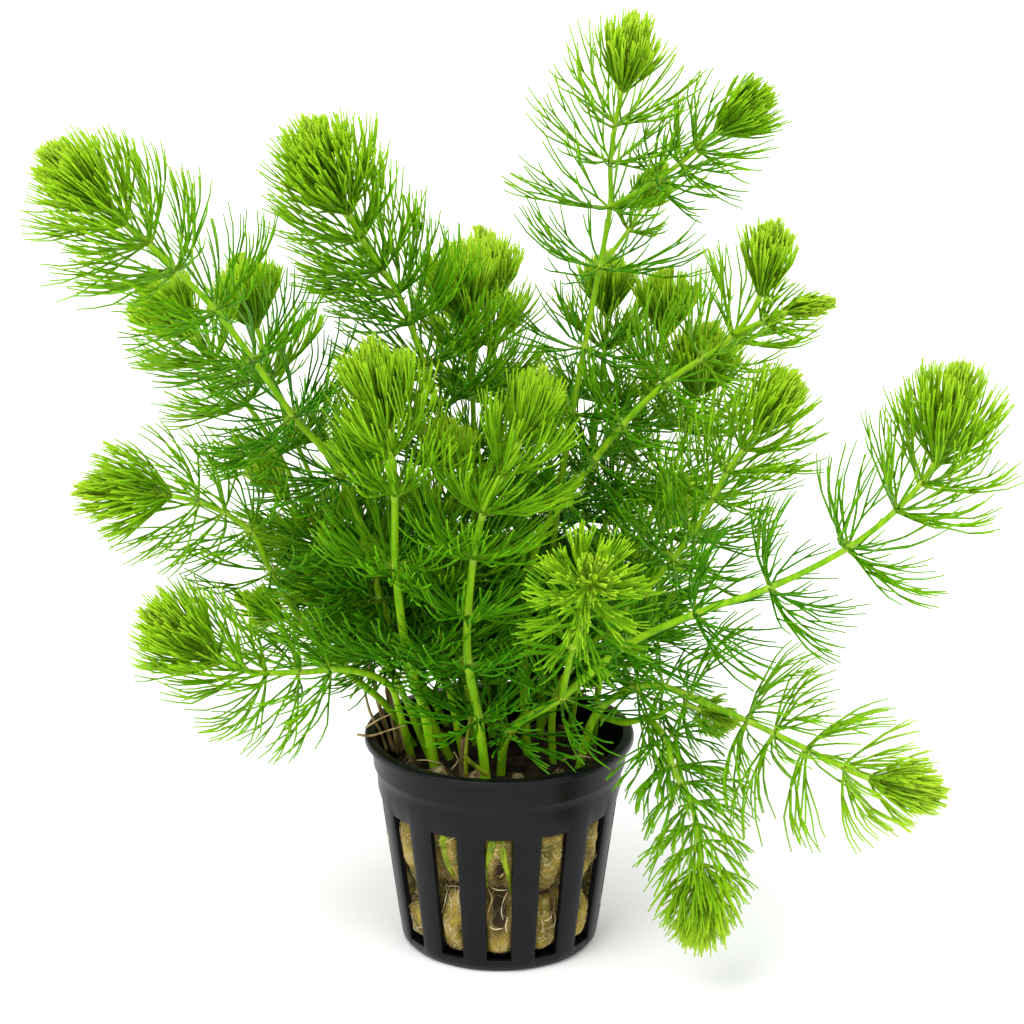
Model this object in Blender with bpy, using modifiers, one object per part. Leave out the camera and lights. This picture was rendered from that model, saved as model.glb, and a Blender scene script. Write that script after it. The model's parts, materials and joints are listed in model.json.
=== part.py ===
"""A bunch of hornwort shoots growing from mineral wool in a slotted net pot.

Sizes are in millimetres and are turned into metres when a mesh is made. The origin is the centre
of the pot's underside, +Z points up and the front of the plant faces -Y.
"""
import math

import bmesh
import bpy
import numpy as np
from mathutils import Vector
from mathutils.kdtree import KDTree

MM = 0.001
GAP = 0.3

# The net pot: a tapered cup with a rolled lip, a plain band and thirteen slots.
LIP_RADIUS = 27.5
POT_HEIGHT = 44.9
LIP_HEIGHT = 1.5
BAND_RADIUS = 26.0
BAND_FOOT = 38.4
BODY_RADIUS = 25.1
FOOT_RADIUS = 20.2
BASE_RADIUS = 19.5
CORNER_HEIGHT = 1.4
WALL = 1.2
FLOOR = 1.5
LIP_EDGE = 0.4
LIP_FILLET = 0.2
BAND_DRAFT = 0.25
SHOULDER = 0.5
BASE_EDGE = 0.7
BASE_EDGE_HEIGHT = 0.35
INNER_CORNER = 0.6
INNER_DRAFT = 0.1
SLOTS = 13
SLOT_HALF_ANGLE = math.radians(6.9)
SLOT_FOOT = 2.8
SLOT_TOP = 30.9
STEPS_PER_SLOT = 2
DRAIN_SIZE = (6.0, 2.4)
DRAIN_RADIUS = 12.0
CUT_MARGIN = 2.0
MERGE_DISTANCE = 0.00001

# The mineral wool plug: two bulging tiers with a waist between them.
WOOL_FOOT = FLOOR + GAP
WOOL_TOP = 40.0
WOOL_PROFILE = ((13.5, WOOL_FOOT), (17.8, 4.2), (19.2, 10.5), (17.9, 18.6), (20.9, 25.5),
                (22.4, 34.0), (20.6, 39.0), (14.0, WOOL_TOP + 0.6))
WOOL_STEPS = 18

# The shoots: each is a stem with whorls of leaves, thinner and younger towards its tip.
SOCKET_DEPTH = 6.0
ROOT_HEIGHT = WOOL_TOP - SOCKET_DEPTH
CURVE_STEP = 0.7
STRAIGHTNESS = 0.7
NODE_SWELL = 1.25
NODE_HEIGHT = 1.1
TIP_TAPER = 0.5
TASSEL_ANGLE = 12.0
OPEN_ANGLE = 66.0
OPENING_LENGTH = 18.0
LEAF_GROWTH = 1.1
VALLEY = 0.3
UNEVEN = math.radians(7)
UNEVEN_STEP = 2.4
TIP_SHARES = np.linspace(0.1, 1.0, 10)
LEAST_TIP = 0.05
VALLEY_SHARES = np.linspace(0.2, 1.0, 5)
LEAST_VALLEY = 0.08
TESTED_SHARES = (0.25, 0.5, 0.75, 1.0)
LEAF_SPACE = 0.8
FLOOR_SPACE = 0.6
BUD = 0.55
# A direction that no stem follows: every ring round a stem is turned to face it.
ACROSS = (0.31, 0.95, 0.05)

# Every path runs from the root, or from the fork on the parent, to the tip of the last leaves.
# Whorls and forks are given by their distance back from that tip.
SHOOTS = {
    "shoot_high_left": dict(
        stem=1.05, leaf=20, lobes=6, root=(-8, 0),
        path=[(-21, -6, 67), (-31, -10, 103), (-40, -13, 116), (-54, -17, 138), (-66, -21, 152),
              (-83, -26, 170)],
        whorls=(8, 16, 24, 32.5, 44, 56.5, 70.5, 87, 104)),
    "shoot_left_behind": dict(
        stem=0.9, leaf=18, lobes=5, root=(-13, 11),
        path=[(-32, 12, 73), (-48, 22, 102), (-60, 27, 117), (-72, 31, 130)],
        whorls=(7, 13.5, 20, 31, 43.5, 58.5)),
    "shoot_left_back": dict(
        stem=0.85, leaf=17, lobes=5, root=(-8, 16),
        path=[(-31, 24, 74), (-44, 34, 100), (-51, 39, 121), (-54, 42, 132)],
        whorls=(6, 13.5, 24.5, 39.5, 56)),
    "shoot_tall_left": dict(
        stem=1.05, leaf=20, lobes=5, root=(-4, 4),
        path=[(-9, 4, 72), (-10, 4, 104), (-15, 3, 122), (-20, 1, 137), (-27, -2, 149),
              (-36, -10, 172)],
        whorls=(10, 20.5, 28, 37, 47, 56.5, 66, 77.5, 94)),
    "shoot_centre": dict(
        stem=0.95, leaf=18, lobes=5, root=(-1, 10),
        path=[(-5, 12, 78), (-5, 14, 100), (-6, 17, 120), (-9, 20, 140)],
        whorls=(6.5, 14, 20.5, 28, 38, 52, 70)),
    "shoot_centre_back": dict(
        stem=0.9, leaf=18, lobes=5, root=(-2, 17),
        path=[(0, 26, 77), (0, 34, 105), (-2, 38, 119), (-4, 43, 138)],
        whorls=(7.5, 16, 23, 35, 52, 70)),
    "shoot_tallest": dict(
        stem=0.95, leaf=21, lobes=6, root=(8, 8),
        path=[(10, 10, 72), (14, 12, 104), (20, 12, 139), (22, 11, 152), (22, 10, 162),
              (26, 2, 189)],
        whorls=(6.5, 14, 21.5, 29.5, 39, 51.5, 68.5, 82.5, 100.5, 122)),
    "shoot_tallest_branch": dict(
        stem=0.7, leaf=18, lobes=5, parent="shoot_tallest", fork=39,
        path=[(28, 7, 156), (35, 3, 162), (42, -1, 169), (51, -5, 177)],
        whorls=(8, 15, 22, 29)),
    "shoot_tallest_twig": dict(
        stem=0.6, leaf=13, lobes=5, parent="shoot_tallest", fork=51.5,
        path=[(23, 15, 142), (28, 20, 148), (33, 27, 156)],
        whorls=(4, 10)),
    "shoot_right_back": dict(
        stem=0.85, leaf=16, lobes=5, root=(8, 16),
        path=[(16, 24, 74), (20, 31, 100), (22, 35, 118), (22, 38, 134)],
        whorls=(5.5, 11.5, 18.5, 29, 39.5, 54)),
    "shoot_upper_right": dict(
        stem=1.1, leaf=20, lobes=5, root=(6, 1),
        path=[(5, 1, 64), (8, 0, 86), (13, 0, 94), (24, -2, 110), (33, -4, 120), (45, -8, 130),
              (50, -10, 138), (52, -12, 152)],
        whorls=(6.5, 13, 23, 31, 40, 53, 66, 85)),
    "shoot_upper_right_branch": dict(
        stem=0.75, leaf=17, lobes=5, parent="shoot_upper_right", fork=23,
        path=[(50, -12, 134), (56, -17, 138), (63, -22, 141)],
        whorls=(5, 10, 16)),
    "shoot_right": dict(
        stem=0.95, leaf=18, lobes=5, root=(11, -4),
        path=[(12, -5, 56), (29, -9, 78), (39, -15, 94), (44, -19, 106), (50, -22, 116),
              (56, -25, 126)],
        whorls=(8, 15.5, 23.5, 31, 39.5, 47.5, 58)),
    "shoot_far_right": dict(
        stem=1.05, leaf=20, lobes=5, root=(0, -9),
        path=[(2, -14, 50), (12, -21, 60), (25, -28, 74), (38, -32, 82), (52, -34, 88),
              (66, -35, 96), (75, -36, 104), (82, -37, 114), (86, -38, 132)],
        whorls=(9, 19, 29, 42.5, 59, 74.5, 90.5, 110)),
    "shoot_front_branch": dict(
        stem=0.8, leaf=15, lobes=5, parent="shoot_far_right", fork=110,
        path=[(14, -31, 73), (16, -42, 84), (16, -54, 94), (18, -66, 102)],
        whorls=(6, 13, 20, 29.5, 42.5)),
    "shoot_middle_left": dict(
        stem=0.95, leaf=18, lobes=5, root=(-15, 6),
        path=[(-23, 3, 49), (-32, -1, 59), (-40, -5, 71), (-45, -9, 82), (-49, -12, 92),
              (-58, -16, 99), (-68, -19, 102), (-80, -23, 104)],
        whorls=(9.5, 18, 27, 36, 46.5, 60)),
    "shoot_middle_left_branch": dict(
        stem=0.65, leaf=12, lobes=5, parent="shoot_middle_left", fork=66,
        path=[(-40, 4, 66), (-46, 8, 67), (-54, 12, 70)],
        whorls=(5, 11)),
    "shoot_low_left": dict(
        stem=1.15, leaf=19, lobes=5, root=(-17, 1),
        path=[(-20, -8, 52), (-22, -13, 60), (-30, -18, 65), (-39, -22, 66), (-50, -26, 68),
              (-60, -29, 75), (-67, -32, 82)],
        whorls=(10.5, 18, 26, 34.5, 41)),
    "shoot_front_left": dict(
        stem=1.25, leaf=21, lobes=5, root=(-12, -9),
        path=[(-15, -14, 55), (-18, -18, 68), (-20, -22, 88), (-20, -24, 104), (-21, -24, 116),
              (-24, -22, 132)],
        whorls=(10, 16, 21.5, 29, 44.5, 64.5)),
    "shoot_front": dict(
        stem=1.2, leaf=20, lobes=5, root=(-2, -16),
        path=[(-4, -19, 55), (-6, -22, 68), (-6, -24, 78), (-3, -26, 100), (4, -25, 114),
              (8, -22, 126)],
        whorls=(7.5, 16, 26, 38, 50.5, 61.5, 74.5)),
    "shoot_low_right": dict(
        stem=1.05, leaf=20, lobes=5, root=(15, -8),
        path=[(20, -12, 54), (30, -16, 61), (40, -20, 59), (50, -24, 56), (60, -27, 52),
              (72, -30, 47), (85, -33, 45)],
        whorls=(5.5, 13, 20, 28, 36, 52)),
    "shoot_drooping": dict(
        stem=0.95, leaf=15, lobes=5, root=(17, 2),
        path=[(19, -2, 48), (25, -11, 51), (30, -20, 55), (33, -26, 53), (34, -29, 49),
              (38, -31, 41), (40, -33, 26), (40, -33, 12)],
        whorls=(11, 18, 25, 31.5, 38, 44.5)),
    "shoot_drooping_branch": dict(
        stem=0.65, leaf=14, lobes=5, parent="shoot_drooping", fork=51,
        path=[(36, -14, 56), (42, -9, 52), (48, -5, 48)],
        whorls=(5.5, 11)),
    "shoot_inner_left": dict(
        stem=0.9, leaf=17, lobes=5, root=(-12, -2),
        path=[(-25, 0, 66), (-34, 3, 81), (-42, 6, 92), (-48, 8, 100)],
        whorls=(4.5, 9.5, 20.5, 31, 44)),
    "shoot_inner_front": dict(
        stem=0.9, leaf=17, lobes=5, root=(-6, -6),
        path=[(-12, -9, 72), (-12, -9, 95), (-10, -8, 112)],
        whorls=(4, 11, 19.5, 31, 45)),
    "shoot_back_tassel": dict(
        stem=0.85, leaf=17, lobes=5, root=(14, 12),
        path=[(20, 18, 76), (29, 26, 103), (34, 30, 121), (34, 32, 132)],
        whorls=(5, 12.5, 21, 30.5, 45.5, 62)),
    "shoot_inner_right": dict(
        stem=0.9, leaf=17, lobes=5, root=(19, 8),
        path=[(22, 10, 61), (29, 14, 81), (38, 14, 104), (42, 12, 126)],
        whorls=(6.5, 14, 22, 33, 45, 60)),
    "shoot_rear_centre": dict(
        stem=0.75, leaf=17, lobes=5, parent="shoot_centre_back", fork=88,
        path=[(3, 34, 69), (6, 48, 89), (8, 58, 102)],
        whorls=(6, 14, 26)),
    "shoot_rear_left": dict(
        stem=0.75, leaf=17, lobes=5, parent="shoot_left_back", fork=92,
        path=[(-22, 32, 62), (-28, 46, 79), (-31, 56, 94)],
        whorls=(6, 14, 26)),
    "shoot_rear_right": dict(
        stem=0.75, leaf=17, lobes=5, parent="shoot_back_tassel", fork=88,
        path=[(21, 26, 56), (32, 40, 70), (40, 50, 82)],
        whorls=(6, 12, 22)),
    "shoot_rear_low_left": dict(
        stem=0.75, leaf=17, lobes=5, parent="shoot_left_behind", fork=92,
        path=[(-28, 24, 53), (-36, 36, 60), (-43, 46, 66)],
        whorls=(6, 12, 21)),
    "shoot_rear_low": dict(
        stem=0.75, leaf=17, lobes=5, parent="shoot_right_back", fork=88,
        path=[(10, 32, 54), (11, 46, 58), (13, 60, 60)],
        whorls=(6, 12, 21)),
}

# Leftovers in the pot: two cut brown stems.
OLD_STEM_SIDES = 6
OLD_STEMS = {
    "old_stem_left": dict(radius=1.2, path=[(-19.5, 6.5, 34), (-21, 7, 43), (-22.5, 7.5, 51)]),
    "old_stem_front": dict(radius=0.6, path=[(-7, -11, 35), (-7.5, -11, 42), (-7, -12, 48)]),
}


def material(name, colour, roughness):
    """A plain surface of one colour."""
    surface = bpy.data.materials.new(name)
    surface.use_nodes = True
    shader = surface.node_tree.nodes["Principled BSDF"]
    shader.inputs["Base Color"].default_value = (*colour, 1.0)
    shader.inputs["Roughness"].default_value = roughness
    return surface


def new_collection(name, hidden=False):
    """A collection of the scene; a hidden one holds cutters."""
    collection = bpy.data.collections.new(name)
    collection.hide_render = hidden
    bpy.context.scene.collection.children.link(collection)
    return collection


def add_object(name, mesh, collection, surface=None):
    """An object for the mesh, in its collection and with its material."""
    piece = bpy.data.objects.new(name, mesh)
    collection.objects.link(piece)
    if surface:
        mesh.materials.append(surface)
    return piece


def add_cutter(name, mesh):
    """A wire shape that only cuts."""
    cutter = add_object(name, mesh, cutters)
    cutter.hide_render = True
    cutter.display_type = "WIRE"
    return cutter


def cut(piece, cutter):
    """Take the cutter's shape out of the piece."""
    boolean = piece.modifiers.new("cut_" + cutter.name, "BOOLEAN")
    boolean.operation = "DIFFERENCE"
    boolean.object = cutter


def finished_mesh(name, shape):
    """The bmesh as a mesh in metres, with its faces pointing out."""
    bmesh.ops.recalc_face_normals(shape, faces=shape.faces)
    bmesh.ops.scale(shape, vec=(MM, MM, MM), verts=shape.verts)
    mesh = bpy.data.meshes.new(name)
    shape.to_mesh(mesh)
    shape.free()
    return mesh


def turned(name, profile, steps, collection, surface):
    """A solid turned about Z from a profile of (radius, height) that starts and ends on the axis.

    The profile starts at the front, so the slots' edges meet the pot's flats between corners.
    """
    outline = bmesh.new()
    points = [outline.verts.new((0, -radius * MM, height * MM)) for radius, height in profile]
    for start, end in zip(points, points[1:]):
        outline.edges.new((start, end))
    mesh = bpy.data.meshes.new(name)
    outline.to_mesh(mesh)
    outline.free()
    piece = add_object(name, mesh, collection, surface)
    screw = piece.modifiers.new("turn", "SCREW")
    screw.steps = steps
    screw.render_steps = steps
    screw.use_merge_vertices = True
    screw.merge_threshold = MERGE_DISTANCE
    screw.use_smooth_shade = False
    return piece


def net_pot():
    """The cup, turned in one piece, with its slots and drains cut through."""
    lip_foot = POT_HEIGHT - LIP_HEIGHT
    profile = [
        (0, FLOOR), (BASE_RADIUS - WALL - INNER_CORNER, FLOOR),
        (FOOT_RADIUS - WALL - INNER_DRAFT, SLOT_FOOT - INNER_CORNER),
        (BODY_RADIUS - WALL, BAND_FOOT),
        (LIP_RADIUS - 2 * WALL, POT_HEIGHT), (LIP_RADIUS - LIP_EDGE, POT_HEIGHT),
        (LIP_RADIUS, POT_HEIGHT - LIP_EDGE), (LIP_RADIUS, lip_foot),
        (BAND_RADIUS, lip_foot - LIP_FILLET), (BAND_RADIUS - BAND_DRAFT, BAND_FOOT),
        (BODY_RADIUS, BAND_FOOT - SHOULDER), (FOOT_RADIUS, CORNER_HEIGHT),
        (BASE_RADIUS, BASE_EDGE_HEIGHT), (BASE_RADIUS - BASE_EDGE, 0), (0, 0)]
    pot = turned("net_pot", profile, SLOTS * STEPS_PER_SLOT, parts, black_plastic)
    for index in range(SLOTS):
        turn = 2 * math.pi * index / SLOTS - math.pi / 2
        cut(pot, slot_cutter(index, turn))
        cut(pot, drain_cutter(index, turn))


def slot_cutter(index, turn):
    """A wedge that narrows towards the pot's axis, as tall as a slot."""
    wedge = bmesh.new()
    near = BASE_RADIUS - 4 * WALL
    far = BODY_RADIUS + CUT_MARGIN
    corners = [(near, -1), (far, -1), (far, 1), (near, 1)]
    rings = []
    for height in (SLOT_FOOT, SLOT_TOP):
        ring = []
        for radius, side in corners:
            angle = turn + side * SLOT_HALF_ANGLE
            place = (radius * math.cos(angle), radius * math.sin(angle), height)
            ring.append(wedge.verts.new(place))
        rings.append(ring)
    bridge(wedge, *rings)
    wedge.faces.new(rings[0])
    wedge.faces.new(rings[1])
    return add_cutter("slot_%02d" % index, finished_mesh("slot_%02d" % index, wedge))


def drain_cutter(index, turn):
    """A block for one drain in the pot's floor, long side towards the axis."""
    block = bmesh.new()
    bmesh.ops.create_cube(block, size=1.0)
    bmesh.ops.scale(block, vec=(*DRAIN_SIZE, 4 * FLOOR), verts=block.verts)
    cutter = add_cutter("drain_%02d" % index, finished_mesh("drain_%02d" % index, block))
    cutter.location = (DRAIN_RADIUS * MM * math.cos(turn), DRAIN_RADIUS * MM * math.sin(turn), 0)
    cutter.rotation_euler.z = turn
    return cutter


def smooth_curve(points, step):
    """Centripetal Catmull-Rom curve through the points, read about every step."""
    points = np.asarray(points, float)
    first = 2 * points[0] - points[1]
    last = 2 * points[-1] - points[-2]
    padded = np.vstack([first, points, last])
    pieces = []
    for a, b, c, d in zip(padded, padded[1:], padded[2:], padded[3:]):
        spans = [np.linalg.norm(q - p) ** 0.5 for p, q in ((a, b), (b, c), (c, d))]
        knots = np.cumsum([0.0] + spans)
        count = max(4, round(np.linalg.norm(c - b) / step))
        t = np.linspace(knots[1], knots[2], count, endpoint=False)[:, None]

        def blend(p, q, i, j):
            return ((knots[j] - t) * p + (t - knots[i]) * q) / (knots[j] - knots[i])

        ab, bc, cd = blend(a, b, 0, 1), blend(b, c, 1, 2), blend(c, d, 2, 3)
        pieces.append(blend(blend(ab, bc, 0, 2), blend(bc, cd, 1, 3), 1, 2))
    return np.vstack(pieces + [points[-1:]])


class Stem:
    """The axis of one shoot, with a frame that doesn't twist carried along it."""

    def __init__(self, name):
        spec = SHOOTS[name]
        self.name, self.spec = name, spec
        parent = stems.get(spec.get("parent"))
        if parent:
            start = parent.place(spec["fork"])[0]
        else:
            start = (*spec["root"], ROOT_HEIGHT)
        points = smooth_curve([start, *spec["path"]], CURVE_STEP)
        if parent:
            room = NODE_SWELL * parent.radius(spec["fork"]) + spec["stem"] + 2 * GAP
            parent_tree = tree(parent.points)
            clear = [parent_tree.find(Vector(point))[2] > room for point in points]
            points = points[np.argmax(clear):]
        self.points = points
        lengths = np.linalg.norm(np.diff(points, axis=0), axis=1)
        self.from_tip = lengths.sum() - np.concatenate([[0], np.cumsum(lengths)])
        self.length = self.from_tip[0]
        self.tangents = np.gradient(points, axis=0)
        self.tangents /= np.linalg.norm(self.tangents, axis=1)[:, None]
        side = np.cross(self.tangents[0], ACROSS)
        sides = []
        for tangent in self.tangents:
            side = side - tangent * side.dot(tangent)
            side = side / np.linalg.norm(side)
            sides.append(side)
        self.sides = np.array(sides)

    def place(self, from_tip):
        """The point, tangent, side and third direction at a distance back from the tip."""
        values = [np.array([np.interp(-from_tip, -self.from_tip, column) for column in table.T])
                  for table in (self.points, self.tangents, self.sides)]
        point, tangent, side = values
        return point, tangent, side, np.cross(tangent, side)

    def radius(self, from_tip):
        """The stem's radius, which tapers towards the tip."""
        share = min(1.0, from_tip / self.length)
        return self.spec["stem"] * (TIP_TAPER + (1 - TIP_TAPER) * share)

    def ring(self, from_tip, radius, turn, count):
        """Points round the stem."""
        point, _, side, third = self.place(from_tip)
        angles = turn + 2 * math.pi * np.arange(count) / count
        return [point + radius * (math.cos(a) * side + math.sin(a) * third) for a in angles]


def leaf_angle(from_tip):
    """How far the leaves open from the stem, in radians: narrow in the tassel, wide below it."""
    share = 1 - math.exp(-from_tip / OPENING_LENGTH)
    return math.radians(TASSEL_ANGLE + (OPEN_ANGLE - TASSEL_ANGLE) * share)


def tree(points):
    """A search tree of the points."""
    found = KDTree(len(points))
    for index, point in enumerate(points):
        found.insert(Vector(point), index)
    found.balance()
    return found


class Neighbours:
    """Says how far a leaf may grow before it reaches another shoot, the pot or the ground."""

    def __init__(self, stem):
        others = [other.points for other in stems.values() if other is not stem]
        extra = [smooth_curve(spec["path"], CURVE_STEP) for spec in OLD_STEMS.values()]
        self.own = tree(stem.points)
        self.others = tree(np.vstack(others + extra))

    def free(self, point):
        """True where the point is nearer to its own stem than to any other, and clear below."""
        if point[2] < FLOOR_SPACE:
            return False
        if point[2] < POT_HEIGHT + FLOOR_SPACE and math.hypot(point[0], point[1]) < LIP_RADIUS + GAP:
            return False
        spot = Vector(point)
        return self.own.find(spot)[2] + LEAF_SPACE < self.others.find(spot)[2]

    def reach(self, starts, end, shares):
        """The largest share of the way to the end that the lines from the starts have free."""
        best = 0.0
        for share in shares:
            tip = starts[0] + share * (end - starts[0])
            lines = [start + t * (tip - start) for start in starts for t in TESTED_SHARES]
            if not all(self.free(point) for point in lines):
                break
            best = share
        return best


def bridge(shape, lower, upper):
    """Side faces between two rings of as many points."""
    for index in range(len(lower)):
        following = (index + 1) % len(lower)
        shape.faces.new((lower[index], lower[following], upper[following], upper[index]))


def leaf_faces(shape, hub, valleys, tips):
    """Three faces for each leaf, from the hub out to its tip and its two valleys."""
    for index in range(len(hub)):
        following = (index + 1) % len(hub)
        tip = tips[index]
        shape.faces.new((hub[index], valleys[index], tip))
        shape.faces.new((hub[index], tip, hub[following]))
        shape.faces.new((hub[following], tip, valleys[following]))


def leaf_end(stem, from_tip, length, angle, turn, index):
    """Where a leaf ends that opens by the angle and otherwise follows the bend of its stem."""
    ahead = from_tip - length * math.cos(angle)
    out = NODE_SWELL * stem.radius(from_tip) + length * math.sin(angle)
    return stem.ring(ahead, out, turn, stem.spec["lobes"])[index]


def whorl(shape, stem, room, from_tip, turn):
    """One whorl grown from the stem: returns its lower and upper ring on the stem."""
    count = stem.spec["lobes"]
    angle = leaf_angle(from_tip)
    length = min(stem.spec["leaf"], LEAF_GROWTH * from_tip)
    radius = NODE_SWELL * stem.radius(from_tip)
    point = stem.place(from_tip)[0]
    half = math.pi / count
    outward = [(end - point) / radius for end in stem.ring(from_tip, radius, turn + half, count)]
    inward = [(end - point) / radius for end in stem.ring(from_tip, radius, turn, count)]
    valleys = []
    for index, direction in enumerate(inward):
        start = point + radius * direction
        end = leaf_end(stem, from_tip, VALLEY * length, angle, turn, index)
        share = room.reach([start], end, VALLEY_SHARES)
        valleys.append(start + max(share, LEAST_VALLEY) * (end - start))
    tips = []
    for index, direction in enumerate(outward):
        start = point + radius * direction
        spread = UNEVEN * math.sin(UNEVEN_STEP * index + from_tip)
        end = leaf_end(stem, from_tip, length, angle + spread, turn + half, index)
        sides = [start, valleys[index], valleys[(index + 1) % count]]
        share = room.reach(sides, end, TIP_SHARES)
        tips.append(start + max(share, LEAST_TIP) * (end - start))
    rings = []
    for height in (NODE_HEIGHT / 2, -NODE_HEIGHT / 2):
        ring = stem.ring(from_tip + height, radius, turn, count)
        rings.append([shape.verts.new(spot) for spot in ring])
    valley_points = [shape.verts.new(spot) for spot in valleys]
    tip_points = [shape.verts.new(spot) for spot in tips]
    for hub in rings:
        leaf_faces(shape, hub, valley_points, tip_points)
    return rings


def bends(stem, start, end):
    """Distances between start and end where the stem bends away from a straight line."""
    middle = (start + end) / 2
    chord = (stem.place(start)[0] + stem.place(end)[0]) / 2
    if np.linalg.norm(stem.place(middle)[0] - chord) < STRAIGHTNESS:
        return []
    return bends(stem, start, middle) + [middle] + bends(stem, middle, end)


def shoot(name, surface):
    """A stem and its whorls, lofted as one closed skin from the root to the tip."""
    stem = stems[name]
    room = Neighbours(stem)
    count = stem.spec["lobes"]
    shape = bmesh.new()
    turn = 0.0
    base = [shape.verts.new(spot) for spot in stem.ring(stem.length, stem.spec["stem"], turn, count)]
    shape.faces.new(base)
    last, reached = base, stem.length
    for from_tip in reversed(stem.spec["whorls"]):
        lower_end = from_tip + NODE_HEIGHT / 2
        for stop in bends(stem, reached, lower_end):
            ring = [shape.verts.new(spot) for spot in stem.ring(stop, stem.radius(stop), turn, count)]
            bridge(shape, last, ring)
            last = ring
        turn += math.pi / count
        lower, upper = whorl(shape, stem, room, from_tip, turn)
        bridge(shape, last, lower)
        last, reached = upper, from_tip - NODE_HEIGHT / 2
    bud = shape.verts.new(stem.place(reached * (1 - BUD))[0])
    for index in range(count):
        shape.faces.new((last[index], last[(index + 1) % count], bud))
    bmesh.ops.triangulate(shape, faces=shape.faces)
    return add_object(name, finished_mesh(name, shape), parts, surface)


def socket_cutter(name, points, radius, sides):
    """A slightly wider tube round the foot of a stem, to hollow its socket in the wool."""
    points = smooth_curve(points, CURVE_STEP)
    top = points[np.argmax(points[:, 2] > WOOL_TOP + CUT_MARGIN)]
    down = (points[0] - top) / np.linalg.norm(points[0] - top)
    return add_cutter(name, tube_mesh(name, [points[0] + 2 * GAP * down, top], radius, sides))


def tube_mesh(name, points, radius, count):
    """A closed tube of rings that stay level across the path."""
    tube = bmesh.new()
    last = None
    for index, point in enumerate(points):
        ahead = np.asarray(points[min(index + 1, len(points) - 1)], float)
        behind = np.asarray(points[max(index - 1, 0)], float)
        tangent = (ahead - behind) / np.linalg.norm(ahead - behind)
        side = np.cross(tangent, ACROSS)
        side /= np.linalg.norm(side)
        third = np.cross(tangent, side)
        angles = 2 * math.pi * np.arange(count) / count
        ring = [tube.verts.new(point + radius * (math.cos(a) * side + math.sin(a) * third))
                for a in angles]
        if last:
            bridge(tube, last, ring)
        else:
            tube.faces.new(ring)
        last = ring
    tube.faces.new(last)
    return finished_mesh(name, tube)


for leftover in list(bpy.data.objects):
    bpy.data.objects.remove(leftover)

parts = new_collection("hornwort")
cutters = new_collection("cutters", hidden=True)
black_plastic = material("black_plastic", (0.02, 0.021, 0.023), 0.45)
mineral_wool = material("mineral_wool", (0.36, 0.27, 0.09), 0.95)
fresh_green = material("fresh_green", (0.10, 0.30, 0.02), 0.5)
old_brown = material("old_brown", (0.23, 0.14, 0.05), 0.8)

net_pot()

stems = {}
for shoot_name in SHOOTS:
    stems[shoot_name] = Stem(shoot_name)

wool_profile = [(0, WOOL_TOP), *reversed(WOOL_PROFILE), (0, WOOL_FOOT)]
rockwool = turned("rockwool", wool_profile, WOOL_STEPS, parts, mineral_wool)
for shoot_name, stem in stems.items():
    shoot(shoot_name, fresh_green)
    if "root" in stem.spec:
        socket = [(*stem.spec["root"], ROOT_HEIGHT), *stem.spec["path"]]
        radius = stem.spec["stem"] + 2 * GAP
        cut(rockwool, socket_cutter("socket_" + shoot_name, socket, radius, stem.spec["lobes"]))
for old_name, spec in OLD_STEMS.items():
    old_mesh = tube_mesh(old_name, spec["path"], spec["radius"], OLD_STEM_SIDES)
    add_object(old_name, old_mesh, parts, old_brown)
    radius = spec["radius"] + 2 * GAP
    cut(rockwool, socket_cutter("socket_" + old_name, spec["path"], radius, OLD_STEM_SIDES))
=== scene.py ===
"""Hornwort shoots rooted in a wool plug in a net pot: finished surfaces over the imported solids."""
import json
import math

import bmesh
import bpy
import numpy as np
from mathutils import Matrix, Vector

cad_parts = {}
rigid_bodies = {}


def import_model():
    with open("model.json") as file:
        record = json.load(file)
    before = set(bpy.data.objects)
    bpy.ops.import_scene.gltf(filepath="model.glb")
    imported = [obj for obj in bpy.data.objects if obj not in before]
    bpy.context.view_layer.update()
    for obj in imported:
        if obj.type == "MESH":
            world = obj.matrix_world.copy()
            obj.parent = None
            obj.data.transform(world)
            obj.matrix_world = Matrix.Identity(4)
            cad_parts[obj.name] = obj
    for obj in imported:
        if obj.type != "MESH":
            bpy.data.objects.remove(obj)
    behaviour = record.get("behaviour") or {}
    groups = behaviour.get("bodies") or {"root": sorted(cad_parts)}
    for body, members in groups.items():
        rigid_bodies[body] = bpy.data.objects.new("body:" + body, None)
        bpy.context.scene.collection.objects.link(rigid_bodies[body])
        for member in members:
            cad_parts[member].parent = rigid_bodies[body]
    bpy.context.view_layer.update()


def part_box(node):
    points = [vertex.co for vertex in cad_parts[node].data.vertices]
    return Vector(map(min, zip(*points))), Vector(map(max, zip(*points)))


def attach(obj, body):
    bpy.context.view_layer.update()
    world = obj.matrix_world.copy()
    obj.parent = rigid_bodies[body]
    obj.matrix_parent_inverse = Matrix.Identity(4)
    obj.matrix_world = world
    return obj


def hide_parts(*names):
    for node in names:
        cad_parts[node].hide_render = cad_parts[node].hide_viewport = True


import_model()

# The net pot: one black moulding of satin plastic, a tapered cup with a rolled lip, a plain band
# and thirteen slots. It is moulded in one piece and carries the wool plug and all the shoots.
MM = 0.001
LIP_RADIUS = -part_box("net_pot")[0].y / MM
POT_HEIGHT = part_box("net_pot")[1].z / MM
LIP_HEIGHT = 1.5
BAND_RADIUS = 26.0
BAND_FOOT = 38.4
BODY_RADIUS = 25.1
FOOT_RADIUS = 20.2
BASE_RADIUS = 19.5
CORNER_HEIGHT = 1.4
WALL = 1.2
FLOOR = 1.5
SLOTS = 13
SLOT_HALF_ANGLE = math.radians(6.9)
SLOT_FOOT = 2.8
SLOT_TOP = 30.9
SLOT_ROWS = 12
COLUMNS_PER_SLOT = 4
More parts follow.
